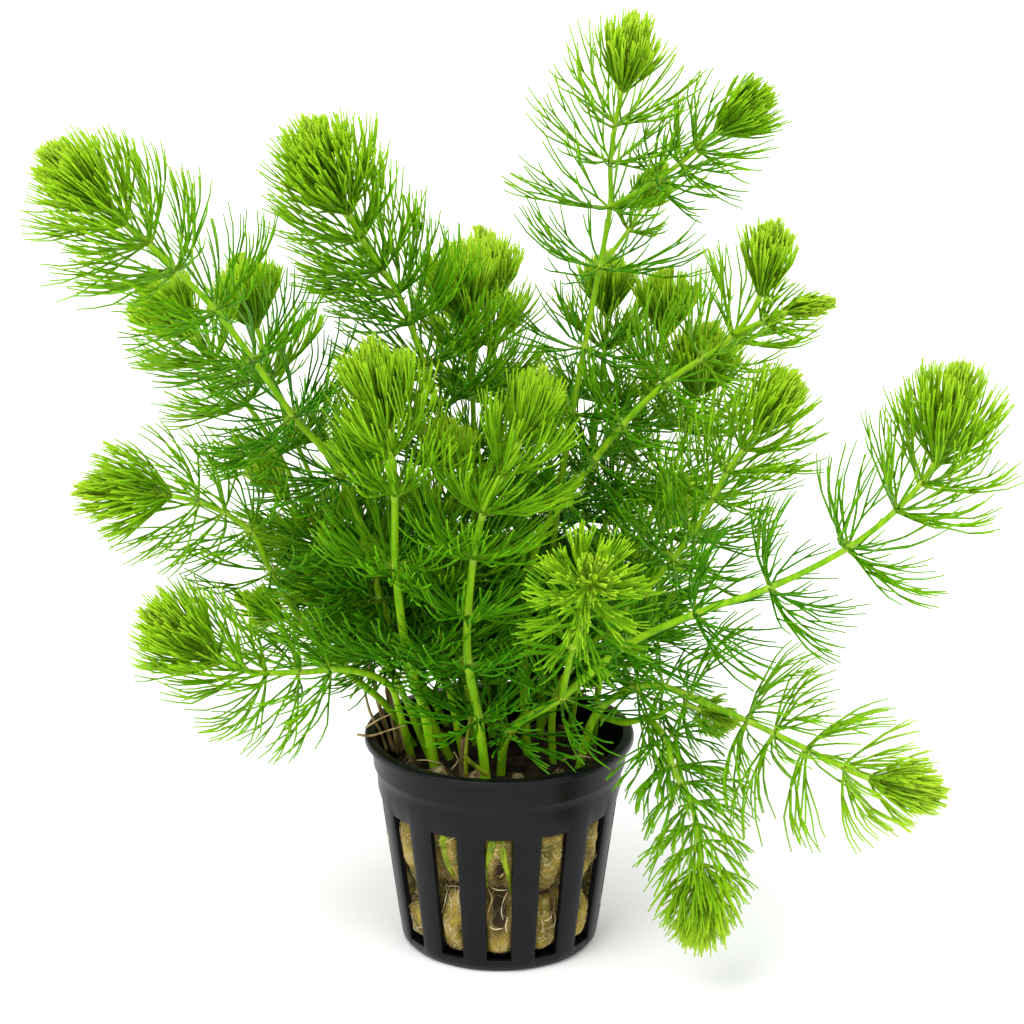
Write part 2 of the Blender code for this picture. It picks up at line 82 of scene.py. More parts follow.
RIB_STATIONS = np.array((0, 0.05, 0.13, 0.27, 0.5, 0.73, 0.87, 0.95, 1))
DRAIN_INNER, DRAIN_OUTER = 9.0, 15.0
RIB_SWELL = 0.3
DRAFT = (BODY_RADIUS - FOOT_RADIUS) / (BAND_FOOT - 0.5 - CORNER_HEIGHT)


class Link:
    """A node's output. Arithmetic on it adds Math nodes, so link * 2 and 1 - link are links too."""

    def __init__(self, finish, socket):
        self.finish = finish
        self.socket = socket

    def maths(self, operation, first, second=0.0):
        return self.finish.node("ShaderNodeMath", {"operation": operation}, {0: first, 1: second})

    def __add__(self, other):
        return self.maths("ADD", self, other)

    def __radd__(self, other):
        return self.maths("ADD", other, self)

    def __sub__(self, other):
        return self.maths("SUBTRACT", self, other)

    def __rsub__(self, other):
        return self.maths("SUBTRACT", other, self)

    def __mul__(self, other):
        return self.maths("MULTIPLY", self, other)

    def __rmul__(self, other):
        return self.maths("MULTIPLY", other, self)

    def clamped(self):
        """The value held between 0 and 1."""
        return self.finish.node("ShaderNodeClamp", {}, {"Value": self})


class Finish:
    """A material with one Principled surface and the nodes that vary it."""

    def __init__(self, name, colour, roughness, **constants):
        self.material = bpy.data.materials.new(name)
        self.material.use_nodes = True
        self.tree = self.material.node_tree
        self.shader = self.tree.nodes["Principled BSDF"]
        self.vary({"Base Color": (*colour, 1.0), "Roughness": roughness, **constants})

    def node(self, kind, settings, sockets, output=0):
        """A new node's output: its settings are set first, then its sockets' values or links."""
        made = self.tree.nodes.new(kind)
        for name, value in settings.items():
            if name == "stops":
                self.set_stops(made.color_ramp, value)
            else:
                setattr(made, name, value)
        for name, value in sockets.items():
            self.feed(made.inputs[name], value)
        return Link(self, made.outputs[output])

    def set_stops(self, ramp, stops):
        """The ramp's colours, each at its place between 0 and 1."""
        while len(ramp.elements) < len(stops):
            ramp.elements.new(0.5)
        for element, (place, colour) in zip(ramp.elements, stops):
            element.position = place
            element.color = (*colour, 1.0)

    def feed(self, socket, value):
        if isinstance(value, Link):
            self.tree.links.new(value.socket, socket)
        else:
            socket.default_value = value

    def vary(self, sockets):
        """The shader's own sockets."""
        for name, value in sockets.items():
            self.feed(self.shader.inputs[name], value)

    def place(self):
        """Where a surface point is on the object, in metres."""
        return self.node("ShaderNodeTexCoord", {}, {}, "Object")

    def stretched(self, scale):
        """The same place, counted scale times along X, Y and Z."""
        return self.node("ShaderNodeMapping", {}, {"Vector": self.place(), "Scale": scale})

    def noise(self, scale, detail=2.0, place=None):
        """Noise with about that many lumps in a metre."""
        sockets = {"Vector": place or self.place(), "Scale": scale, "Detail": detail}
        return self.node("ShaderNodeTexNoise", {}, sockets, "Fac")

    def attribute(self, name):
        """A value kept on the mesh's points."""
        return self.node("ShaderNodeAttribute", {"attribute_name": name}, {}, "Fac")

    def ramp(self, factor, *stops):
        """A colour that changes with the factor."""
        return self.node("ShaderNodeValToRGB", {"stops": stops}, {"Fac": factor}, "Color")

    def mix(self, factor, first, second):
        """The first colour where the factor is 0 and the second where it is 1."""
        sockets = {"Factor": factor, 6: first, 7: second}
        return self.node("ShaderNodeMix", {"data_type": "RGBA"}, sockets, 2)

    def bump(self, height, distance, strength=1.0):
        """A normal that follows the height, which is 1 at the distance in metres."""
        sockets = {"Height": height, "Distance": distance, "Strength": strength}
        return self.node("ShaderNodeBump", {}, sockets, "Normal")


def new_mesh(name, points, *faces):
    """A mesh of these points, in millimetres, and of arrays of faces with alike corner counts."""
    mesh = bpy.data.meshes.new(name)
    mesh.vertices.add(len(points))
    mesh.vertices.foreach_set("co", (points * MM).astype(np.float32).ravel())
    corners = np.concatenate([group.ravel() for group in faces])
    sizes = np.concatenate([np.full(len(group), group.shape[1]) for group in faces])
    mesh.loops.add(len(corners))
    mesh.loops.foreach_set("vertex_index", corners.astype(np.int32))
    mesh.polygons.add(len(sizes))
    starts = np.concatenate([[0], np.cumsum(sizes)[:-1]])
    mesh.polygons.foreach_set("loop_start", starts.astype(np.int32))
    mesh.update(calc_edges=True)
    mesh.shade_smooth()
    return mesh


def new_piece(name, mesh, slot, *finishes, replaces=()):
    """The mesh as a piece that rides on the pot and stands for the solids it replaces."""
    piece = bpy.data.objects.new(name, mesh)
    bpy.context.scene.collection.objects.link(piece)
    for finish in finishes:
        mesh.materials.append(finish.material)
    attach(piece, "root")
    if replaces:
        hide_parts(*replaces)
    return piece


def outward(mesh):
    """Turn every face of a closed mesh outwards."""
    shape = bmesh.new()
    shape.from_mesh(mesh)
    bmesh.ops.recalc_face_normals(shape, faces=shape.faces)
    shape.to_mesh(mesh)
    shape.free()


def pot_profile():
    """Radius and height round the pot's section: up the outside, over the lip and down inside.

    Also returns the rows at which the slots and the drains start and end, inside and outside.
    """
    slot_heights = np.linspace(SLOT_FOOT, SLOT_TOP, SLOT_ROWS)
    rise = (slot_heights - CORNER_HEIGHT) / (BAND_FOOT - 0.5 - CORNER_HEIGHT)
    slot_outside = np.stack([FOOT_RADIUS + rise * (BODY_RADIUS - FOOT_RADIUS), slot_heights], 1)
    foot = [(DRAIN_INNER, 0), (DRAIN_OUTER, 0), (BASE_RADIUS - 0.7, 0), (BASE_RADIUS, 0.35),
            (FOOT_RADIUS, CORNER_HEIGHT)]
    lip_foot = POT_HEIGHT - LIP_HEIGHT
    shoulder = np.linspace(0, math.pi / 2, 5)
    top = [(BODY_RADIUS - 0.25, 33.5), (BODY_RADIUS - 0.1, 36.0), (BODY_RADIUS, BAND_FOOT - 0.6),
           (BODY_RADIUS + 0.35, BAND_FOOT - 0.2), (BAND_RADIUS - 0.25, BAND_FOOT + 0.1),
           (BAND_RADIUS - 0.15, 41.0), (BAND_RADIUS, lip_foot - 0.3), (LIP_RADIUS - 0.5, lip_foot)]
    roll = [(LIP_RADIUS - 0.6 + 0.6 * math.cos(a), POT_HEIGHT - 0.6 + 0.6 * math.sin(a))
            for a in shoulder]
    mouth = [(LIP_RADIUS - 2.2, POT_HEIGHT - 0.1), (BAND_RADIUS - 1.5, 42.0),
             (BODY_RADIUS - WALL, BAND_FOOT)]
    slot_inside = slot_outside[::-1] - (WALL, 0)
    inner_floor = [(BASE_RADIUS - WALL - 0.3, FLOOR), (DRAIN_OUTER, FLOOR), (DRAIN_INNER, FLOOR)]
    parts = [foot, slot_outside, top, [(LIP_RADIUS, lip_foot + 0.2)], roll, mouth, slot_inside,
             inner_floor]
    starts = np.cumsum([0] + [len(part) for part in parts])
    slot_rows = (starts[1], starts[2] - 1, starts[7] - 1, starts[6])
    drain_rows = (0, 1, starts[8] - 1, starts[8] - 2)
    return np.vstack(parts), slot_rows, drain_rows


def pot_columns():
    """Angles round the pot, with one column at each edge of every slot."""
    pitch = 2 * math.pi / SLOTS
    inside = np.linspace(-SLOT_HALF_ANGLE, SLOT_HALF_ANGLE, COLUMNS_PER_SLOT + 1)
    rib = SLOT_HALF_ANGLE + (pitch - 2 * SLOT_HALF_ANGLE) * RIB_STATIONS[1:-1]
    one = np.concatenate([inside, rib])
    return (one + pitch * np.arange(SLOTS)[:, None]).ravel() - math.pi / 2


def opening_walls(index, left, right, outer, inner):
    """Quads that line one opening from the outer rows to the inner rows, on its four sides."""
    left_side = [index[outer[:-1], left], index[outer[1:], left],
                 index[inner[1:], left], index[inner[:-1], left]]
    right_side = [index[outer[1:], right], index[outer[:-1], right],
                  index[inner[:-1], right], index[inner[1:], right]]
    across = np.arange(left, right + 1)
    foot = [index[outer[0], across[1:]], index[outer[0], across[:-1]],
            index[inner[0], across[:-1]], index[inner[0], across[1:]]]
    head = [index[outer[-1], across[:-1]], index[outer[-1], across[1:]],
            index[inner[-1], across[1:]], index[inner[-1], across[:-1]]]
    return [np.stack(side, 1) for side in (left_side, right_side, foot, head)]


def pot_mesh():
    """The section turned round Z, point (r cos a, r sin a, z), less its slots and drains.

    The ribs are pillowed: at a share s of a rib's width r grows by RIB_SWELL * (1 - (2 s - 1)^4).
    """
    profile, slot_rows, drain_rows = pot_profile()
    angles = pot_columns()
    radius, height = profile.T
    body = np.clip((BAND_FOOT - 2 - height) / 6, 0, 1) * np.clip(height / 3, 0, 1)
    pitch = 2 * math.pi / SLOTS
    share = ((angles + math.pi / 2) % pitch - SLOT_HALF_ANGLE) / (pitch - 2 * SLOT_HALF_ANGLE)
    rib = 1 - (2 * np.clip(share, 0, 1) - 1) ** 4
    spread = radius[:, None] + RIB_SWELL * body[:, None] * rib
    grid = np.stack([spread * np.cos(angles), spread * np.sin(angles),
                     np.broadcast_to(height[:, None], spread.shape)], -1)
    rows, columns = spread.shape
    index = np.arange(rows * columns).reshape(rows, columns)
    following = np.roll(index, -1, 1)
    quads = np.stack([index[:-1], following[:-1], following[1:], index[1:]], -1)
    kept = np.ones(quads.shape[:2], bool)
    walls = []
    per_slot = COLUMNS_PER_SLOT + len(RIB_STATIONS) - 1
    for slot in range(SLOTS):
        left = slot * per_slot
        right = left + COLUMNS_PER_SLOT
        for first, last, inner_first, inner_last in (slot_rows, drain_rows):
            kept[first:last, left:right] = False
            kept[inner_last:inner_first, left:right] = False
            outer = np.arange(first, last + 1)
            inner = np.arange(inner_first, inner_last - 1, -1)
            walls += opening_walls(index, left, right, outer, inner)
    below, above = rows * columns, rows * columns + 1
    points = np.vstack([grid.reshape(-1, 3), [(0, 0, 0), (0, 0, FLOOR)]])
    base = np.stack([following[0], index[0], np.full(columns, below)], 1)
    floor = np.stack([index[-1], following[-1], np.full(columns, above)], 1)
    mesh = new_mesh("net_pot_moulding", points, quads[kept], *walls, base, floor)
    outward(mesh)
    return mesh


def satin_plastic():
    """Black moulded plastic: nearly even, with a faint grain and duller and shinier patches."""
    plastic = Finish("black_plastic", (0.004, 0.004, 0.0045), 0.4, **{"Specular IOR Level": 0.16})
    patches = plastic.noise(90.0, 3.0)
    grain = plastic.noise(2600.0, 2.0)
    plastic.vary({
        "Base Color": plastic.ramp(patches, (0.3, (0.003, 0.003, 0.0034)),
                                   (0.7, (0.0052, 0.0053, 0.006))),
        "Roughness": 0.26 + 0.16 * patches,
        "Normal": plastic.bump(grain + 0.6 * plastic.noise(420.0, 1.0), 0.00003, 0.5)})
    return plastic


pot = new_piece("net_pot_moulding", pot_mesh(), "black_plastic", satin_plastic(),
                replaces=["net_pot"])
edges = pot.modifiers.new("rounded_edges", "BEVEL")
edges.width = 0.22 * MM
edges.segments = 2
edges.limit_method = "ANGLE"
edges.angle_limit = math.radians(40)
edges.harden_normals = True

# The plug of mineral wool: fine pale fibres pressed round the roots in two bulging tiers. It sits
# loose on the pot's floor, stained amber and brown, and shows through the slots. Its hollows, the
# crease at its waist and its top carry painted shade.
WOOL_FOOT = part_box("rockwool")[0].z / MM
WOOL_PROFILE = ((13.5, WOOL_FOOT), (18.4, 3.8), (21.0, 9.8), (19.2, 17.2), (22.4, 23.6),
                (23.8, 33.0), (20.8, 39.0), (14.0, 40.4), (6.0, 40.2))
WOOL_ROWS, WOOL_COLUMNS = 120, 200
WOOL_LUMPS = ((9.0, 0.8), (3.2, 0.6), (1.1, 0.22))
# The waist lies lower at the plug's sides than at its front and back.
WAIST_HEIGHT, WAIST_REACH, WAIST_SWAY, WAIST_DIP = 17.2, 6.5, 0.7, 5.8
SLOT_BULGE = 1.1
# Each hollow: its angle from the front, height, half width, half height and depth. The depth both
# dents the surface and darkens the colour there as painted shade.
WOOL_HOLLOWS = ((0.5, 22.5, 1.6, 4.6, 2.4), (0, 12.6, 1.9, 4.0, 3.4), (-31.5, 25, 1.7, 6.5, 2.8),
                (-36, 13, 1.0, 4.0, 2.0), (-25, 17.6, 2.6, 0.9, 1.6), (-21.5, 8.4, 0.9, 1.8, 1.8),
                (34, 12.4, 1.6, 3.6, 1.7), (26, 16.9, 3.4, 0.8, 1.5), (27, 8.2, 1.0, 1.4, 0.9),
                (-62, 29.5, 2.2, 2.6, 1.6), (62, 17.0, 2.6, 0.9, 1.2), (-58, 13.4, 3.0, 1.0, 1.5),
                (75, 25, 1.6, 3.0, 1.0), (100, 27, 2.4, 3.0, 1.6), (128, 25, 2.6, 4.0, 2.2),
                (155, 10, 2.0, 3.0, 1.6), (180, 21, 2.2, 4.2, 2.4), (207, 13, 2.2, 3.0, 1.8),
                (232, 25, 2.4, 3.6, 2.0), (258, 27, 2.4, 3.0, 1.6), (283, 24, 1.8, 3.0, 1.2))
# Mounds of wool round the stems' feet: X, Y, half width and height.
WOOL_MOUNDS = ((-12.6, -12.2, 3.0, 3.0), (-4.5, -16.8, 3.2, 3.4), (-19.5, -5.0, 2.8, 3.2),
               (4.0, -14.4, 1.7, 2.6), (12.5, -12.0, 2.6, 1.8), (17.0, 1.5, 3.0, 2.0),
               (-14.0, 10.0, 3.2, 2.4), (8.0, 9.0, 3.4, 2.0), (-2.0, 15.5, 3.0, 2.4),
               (-3.0, 3.0, 3.6, 1.4), (13.5, 12.0, 2.6, 2.0), (8.5, -1.5, 3.0, 1.2))
FIBRES = 2600
FIBRE_RADIUS = 0.045
# Long pale strands in the slots, from point to point: angle from the front and height.
STRANDS = (((-6.8, 8.0), (-3.5, 6.9), (-0.4, 6.3), (3.7, 6.8), (8.2, 7.8)),
           ((-6.6, 10.6), (-2.0, 10.2), (2.2, 10.5)), ((-4.5, 18.1), (0.1, 17.6), (5.3, 17.7)),
           ((2.3, 22.7), (1.2, 21.9), (-0.4, 21.2)), ((4.6, 12.6), (3.6, 10.4), (5.8, 8.6)),
           ((-6.9, 17.5), (-4.0, 16.0), (-5.3, 14.4), (-6.6, 12.8)),
           ((5.8, 17.6), (2.7, 15.6), (1.3, 13.6), (2.2, 12.1)),
           ((-37, 17.2), (-34, 17.4), (-29, 17.5), (-22, 17.7)),
           ((-37.8, 16.8), (-34.2, 15.2), (-34.0, 13.2), (-36.0, 10.7)),
           ((-23.8, 17.6), (-24.6, 15.6), (-22.7, 13.3), (-21.9, 11.0)),
           ((-31, 15.8), (-28, 14.4), (-26.5, 12.4), (-29.5, 10.6)),
           ((30.4, 16.5), (34.8, 16.1), (36.7, 14.6), (34.2, 12.8), (30.5, 12.6)),
           ((24.6, 11.4), (28.1, 11.9), (31.1, 12.7)), ((23.5, 8.5), (24.6, 10.0), (23.5, 11.7)),
           ((55, 16.6), (61, 17.0), (68, 17.8)), ((27, 27), (30, 25.5), (34, 26.2)))
LOOSE_STRANDS = 30
STRAND_STATIONS = 14
STRAND_RADIUS = 0.15
# Green roots pressed between the plug and the pot: radius, then angle and height.
ROOTS = ((0.95, ((-2.4, 31.5), (-4.9, 27.0), (-7.1, 22.4), (-8.0, 17.6))),
         (0.75, ((0.6, 31.5), (2.3, 26.8), (4.9, 22.4), (7.7, 16.4))),
         (0.9, ((-28.6, 31.5), (-27.4, 26.4), (-25.4, 21.0))),
         (0.7, ((104, 31.0), (101, 24.0), (103, 17.0))), (0.8, ((205, 31.5), (201, 25), (198, 16))))


def smooth_curve(points, step):
    """Centripetal Catmull-Rom curve through the points, read about every step.

    Between b and c, with neighbours a and d and knots at the roots of the distances, it blends
    the lines ab, bc and cd in pairs and then the two results.
    """
    points = np.asarray(points, float)
    padded = np.vstack([2 * points[0] - points[1], points, 2 * points[-1] - points[-2]])
    pieces = []
    for corners in zip(padded, padded[1:], padded[2:], padded[3:]):
        spans = [np.linalg.norm(q - p) ** 0.5 for p, q in zip(corners, corners[1:])]
        knots = np.cumsum([0.0] + spans)
        count = max(4, round(np.linalg.norm(corners[2] - corners[1]) / step))
        t = np.linspace(knots[1], knots[2], count, endpoint=False)[:, None]
        level = list(corners)
        for reach in (1, 2):
            level = [((knots[i + reach] - t) * level[i] + (t - knots[i]) * level[i + 1])
                     / (knots[i + reach] - knots[i]) for i in range(len(level) - 1)]
        share = (t - knots[1]) / (knots[2] - knots[1])
        pieces.append((1 - share) * level[0] + share * level[1])
    return np.vstack(pieces + [points[-1:]])


def waves(points, size, seed, count=26):
    """A smooth random field from -1 to 1: cosines of that wavelength in random directions."""
    rng = np.random.default_rng(seed)
    directions = rng.normal(size=(count, 3))
    directions *= 2 * math.pi / size / np.linalg.norm(directions, axis=1)[:, None]
    phases = rng.uniform(0, 2 * math.pi, count)
    return np.cos(points @ directions.T + phases).sum(-1) / (count / 2) ** 0.5 / 2


def wool_profile():
    """Radius and height along the plug's turned profile, and the share of its length there."""
    profile = smooth_curve([(r, 0, z) for r, z in WOOL_PROFILE], 0.4)[:, (0, 2)]
    lengths = np.linalg.norm(np.diff(profile, axis=0), axis=1)
    return np.concatenate([[0], np.cumsum(lengths)]) / lengths.sum(), *profile.T


def wool_surface(angle, row, dented=1.0):
    """The plug's surface at an angle round Z and a row, from 0 at its foot to 1 at its top.

    The turned profile is drawn in by lumps of three sizes and by a bell-shaped dent,
    depth * exp(-(x / width)^2 - (z / height)^2), at each hollow. It stays inside the pot's wall,
    but swells into the slots at its sides, and on top each mound adds
    height * exp(-(distance / width)^2). Also returns how deep in a hollow each point is, with a
    narrow crease at the waist added for painted shade, and how high on a mound it is.
    """
    share, *profile = wool_profile()
    radius, height = (np.interp(row, share, column) for column in profile)
    around = np.stack([np.cos(angle), np.sin(angle), 0 * angle], -1)
    points = radius[..., None] * around
    points[..., 2] = height
    draw = sum(depth * (1 - waves(points, size, seed)) / 2
               for seed, (size, depth) in enumerate(WOOL_LUMPS))
    hollow = 0 * radius
    for turn, middle, half_width, half_height, depth in WOOL_HOLLOWS:
        apart = (angle + math.pi / 2 - math.radians(turn) + math.pi) % (2 * math.pi) - math.pi
        bell = (radius * apart / half_width) ** 2 + ((height - middle) / half_height) ** 2
        hollow = hollow + depth * np.exp(-bell)
    top = np.clip((row - 0.74) / 0.07, 0, 1)
    wall = FOOT_RADIUS + (height - CORNER_HEIGHT) * DRAFT - WALL - 0.15 - 0.4 * draw
    reach = np.minimum(radius - (draw + dented * hollow) * (1 - top), wall)
    pitch = 2 * math.pi / SLOTS
    off = (angle + (math.pi + pitch) / 2) % pitch - pitch / 2
    open_share = np.clip(1 - (off / SLOT_HALF_ANGLE) ** 4, 0, 1)
    open_share = open_share * np.clip((height - SLOT_FOOT) / 2, 0, 1) * np.clip(SLOT_TOP - height, 0, 1)
    reach = reach + SLOT_BULGE * open_share * (1 + 0.4 * np.sin(angle) ** 2)
    points[..., :2] = reach[..., None] * around[..., :2]
    # Painted shade: a narrow dark crease along the waist, added to the hollow values after the dents
    # are made, so it only darkens the colour.
    hollow = hollow + 1.2 * np.exp(-((height - WAIST_HEIGHT) / 0.8) ** 2)
    waist = np.exp(-((height - WAIST_HEIGHT) / WAIST_REACH) ** 2)
    points[..., 2] += waist * (WAIST_SWAY * np.sin(3 * angle + 0.6) - WAIST_DIP * np.cos(angle) ** 10)
    mound = 0 * radius
    for x, y, half_width, rise in WOOL_MOUNDS:
        apart = ((points[..., 0] - x) ** 2 + (points[..., 1] - y) ** 2) / half_width ** 2
        mound = mound + rise * np.exp(-apart)
    crumbs = 1 + 0.45 * waves(points, 1.9, 8)
    points[..., 2] += top * (mound * crumbs - 1.5 * draw)
    return points, hollow * (1 - top), mound * top


def wool_mesh():
    """The surface on a grid of angles and rows, closed by a fan at either pole."""
    angle, row = np.meshgrid(np.arange(WOOL_COLUMNS) * 2 * math.pi / WOOL_COLUMNS,
                             np.linspace(0, 1, WOOL_ROWS))
    grid, hollow, mound = wool_surface(angle, row)
    index = np.arange(row.size).reshape(row.shape)
    following = np.roll(index, -1, 1)
    quads = np.stack([index[:-1], following[:-1], following[1:], index[1:]], -1).reshape(-1, 4)
    poles = np.stack([grid[0].mean(0), grid[-1].mean(0)])
    foot = np.stack([following[0], index[0], np.full(WOOL_COLUMNS, row.size)], 1)
    top = np.stack([index[-1], following[-1], np.full(WOOL_COLUMNS, row.size + 1)], 1)
    mesh = new_mesh("wool_plug", np.vstack([grid.reshape(-1, 3), poles]), quads, foot, top)
    for name, values in (("hollow", hollow), ("mound", mound)):
        layer = mesh.attributes.new(name, "FLOAT", "POINT")
        layer.data.foreach_set("value", np.append(values, [0, 0]).astype(np.float32))
    return mesh


def tubes(paths, radii, across, sides):
    """Closed tubes along paths[n, m], as points and faces.

    Round each path point goes a ring, point + radius * (cos a * u + sin a * v), where u is the
    across direction made square to the path and v is square to both.
    """
    count, stations = paths.shape[:2]
    along = np.gradient(paths, axis=1)
    along /= np.linalg.norm(along, axis=2)[..., None]
    u = across - along * (across * along).sum(2)[..., None]
    u /= np.linalg.norm(u, axis=2)[..., None]
    v = np.cross(along, u)
    angles = (2 * math.pi * np.arange(sides) / sides)[:, None]
    ring = np.cos(angles) * u[:, :, None] + np.sin(angles) * v[:, :, None]
    points = paths[:, :, None] + radii[..., None, None] * ring
    index = np.arange(count * stations * sides).reshape(count, stations, sides)
    lower, upper = index[:, :-1], index[:, 1:]
    walls = np.stack([lower, np.roll(lower, -1, 2), np.roll(upper, -1, 2), upper], -1)
    return points.reshape(-1, 3), walls.reshape(-1, 4), index[:, 0, ::-1], index[:, -1]


def fibres_mesh():
    """Short bent fibres that lie on the wool: each is a parabola between two surface places."""
    rng = np.random.default_rng(3)
    angle = rng.uniform(0, 2 * math.pi, FIBRES)
    row = rng.uniform(0.08, 0.8, FIBRES)
    heading = rng.uniform(0, 2 * math.pi, FIBRES)
    length = rng.uniform(1.2, 5.0, FIBRES)
    t = np.linspace(-0.5, 0.5, 4)
    bend = rng.normal(0, 1.4, FIBRES)[:, None] * (t ** 2 - 0.1)
    x = length[:, None] * t * np.cos(heading)[:, None] - bend * np.sin(heading)[:, None]
    z = length[:, None] * t * np.sin(heading)[:, None] + bend * np.cos(heading)[:, None]
    paths = wool_surface(angle[:, None] + x / 20, row[:, None] + z / 56)[0]
    outwards = paths * (1, 1, 0)
    outwards /= np.linalg.norm(outwards, axis=2)[..., None]
    lift = rng.uniform(-0.02, 0.45, FIBRES)[:, None] * (1 - (1.6 * t) ** 2)
    paths = paths + lift[..., None] * outwards
    radii = np.broadcast_to(FIBRE_RADIUS * rng.uniform(0.6, 1.3, FIBRES)[:, None], paths.shape[:2])
    return new_mesh("wool_fibres", *tubes(paths, radii, outwards, 3))


def laid_on_wool(courses, lift):
    """Smooth curves of angle and height, laid at that lift from the plug's undented surface."""
    share, _, heights = wool_profile()
    climb = heights.argmax() + 1
    paths = []
    for course in courses:
        curve = smooth_curve([(turn, height, 0) for turn, height in course], 1.0)
        curve = curve[np.linspace(0, len(curve) - 1, STRAND_STATIONS).round().astype(int)]
        row = np.interp(curve[:, 1], heights[:climb], share[:climb])
        angle = np.radians(curve[:, 0]) - math.pi / 2
        points = wool_surface(angle, row, 0.25)[0]
        paths.append(points + lift * np.stack([np.cos(angle), np.sin(angle), 0 * angle], -1))
    return np.stack(paths)


def strands_mesh():
    """The listed strands and some loose ones, as round tubes thinner at both ends."""
    rng = np.random.default_rng(11)
    starts = np.stack([rng.uniform(0, 360, LOOSE_STRANDS), rng.uniform(6, 29, LOOSE_STRANDS)], 1)
    walks = rng.normal(0, 1, (LOOSE_STRANDS, 4, 2)) * (5, 1.8)
    loose = starts[:, None] + np.cumsum(walks, axis=1)
    paths = laid_on_wool([*STRANDS, *loose], 0.12)
    taper = 1 - 0.6 * np.abs(np.linspace(-1, 1, STRAND_STATIONS)) ** 3
    radii = STRAND_RADIUS * rng.uniform(0.6, 1.25, len(paths))[:, None] * taper
    return new_mesh("wool_strands", *tubes(paths, radii, paths * (1, 1, 0), 5))


def roots_mesh():
    """The green roots, as tubes that narrow downwards."""
    paths = laid_on_wool([course for _, course in ROOTS], -0.25)
    taper = np.linspace(1.1, 0.45, STRAND_STATIONS)
    radii = np.array([radius for radius, _ in ROOTS])[:, None] * taper
    return new_mesh("pressed_roots", *tubes(paths, radii, paths * (1, 1, 0), 12))


def stained_wool():
    """Tan, amber and olive wool with pale tufts, and painted shade: deep brown in its hollows and waist
    crease, near-black on its top.
    """
    wool = Finish("mineral_wool", (0.40, 0.26, 0.07), 0.92, **{"Specular IOR Level": 0.2})
    tufts = wool.noise(1500.0, 4.0)
    stain = wool.noise(150.0, 3.0)
    colour = wool.ramp(stain, (0.30, (0.085, 0.070, 0.012)), (0.44, (0.22, 0.165, 0.026)),
                       (0.56, (0.38, 0.265, 0.045)), (0.74, (0.40, 0.34, 0.13)))
    pale = wool.ramp(tufts, (0.54, (0, 0, 0)), (0.74, (1, 1, 1)))
    colour = wool.mix(0.8 * pale, colour, (0.56, 0.50, 0.27, 1))
    shade = (2.4 * wool.noise(420.0, 3.0) - 1.25).clamped() * 0.55
    colour = wool.mix(shade, colour, (0.075, 0.052, 0.014, 1))
    # Painted shade: deep brown in the dents and the waist crease. The random stain is mixed into the
    # mask, so the mark is partly stain.
    hollow = (0.55 * wool.attribute("hollow") + 0.5 * stain - 0.35).clamped()
    colour = wool.mix(hollow, colour, (0.040, 0.026, 0.010, 1))
    # Painted shade: the plug's top turns near-black brown, standing in for the shade under the leaves.
    # The mounds mixed in next keep a tan wool colour.
    height = wool.node("ShaderNodeSeparateXYZ", {}, {"Vector": wool.place()}, "Z")
    painted_top_shade = (600.0 * (height - 0.0366) + 0.6 * stain).clamped()
    colour = wool.mix(painted_top_shade, colour, wool.ramp(wool.noise(420.0), (0.4, (0.010, 0.007, 0.004)),
                                              (0.66, (0.055, 0.035, 0.015))))
    mound = (0.6 * wool.attribute("mound") + 2.2 * tufts - 1.6).clamped()
    colour = wool.mix(mound, colour, wool.ramp(wool.noise(600.0, 4.0), (0.40, (0.13, 0.08, 0.03)),
                                               (0.62, (0.52, 0.42, 0.20))))
    wool.vary({"Base Color": colour,
               "Normal": wool.bump(tufts + 0.5 * wool.noise(4200.0), 0.0004, 0.9)})
    return wool


def pale_fibre():
    """Glassy fibre, cream to straw."""
    fibre = Finish("wool_fibre", (0.62, 0.54, 0.30), 0.5)
    fibre.vary({"Base Color": fibre.ramp(fibre.noise(260.0), (0.38, (0.30, 0.21, 0.055)),
                                         (0.64, (0.66, 0.58, 0.34)))})
    return fibre


def root_green():
    """Old root skin, olive to yellow-green in long streaks."""
    root = Finish("root_green", (0.20, 0.25, 0.03), 0.45, **{"Specular IOR Level": 0.15})
    streaks = root.noise(120.0, 3.0, root.stretched((8.0, 8.0, 1.0)))
    root.vary({"Base Color": root.ramp(streaks, (0.35, (0.07, 0.11, 0.004)),
                                       (0.65, (0.26, 0.34, 0.010))),
               "Normal": root.bump(streaks, 0.0002)})
    return root


new_piece("wool_plug", wool_mesh(), "mineral_wool", stained_wool(), replaces=["rockwool"])
fibre_finish = pale_fibre()
new_piece("wool_fibres", fibres_mesh(), "mineral_wool", fibre_finish)
new_piece("wool_strands", strands_mesh(), "mineral_wool", fibre_finish)
root_green_finish = root_green()
new_piece("pressed_roots", roots_mesh(), "fresh_green", root_green_finish)

# The shoots: each a springy green stem with whorls of leaves that fork two or three times into
# threads. They grow from the plug, or branch from an older shoot, and are youngest at the tip.
ROOT_HEIGHT = 34.0
CURVE_STEP = 0.7
SLIMNESS = 0.9
FULL_LEAF = 20.0
NODE_SWELL = 1.16
TIP_TAPER, TAPER_POWER = 0.55, 1.4
STEM_SIDES = 8
# How far a leaf opens from its stem, in degrees, at a distance back from a full-size tip.
OPENINGS = ((0, 1), (5, 5), (9, 9), (11.5, 16), (15, 31), (19, 41), (25, 50), (33, 59), (44, 66),
            (60, 70))
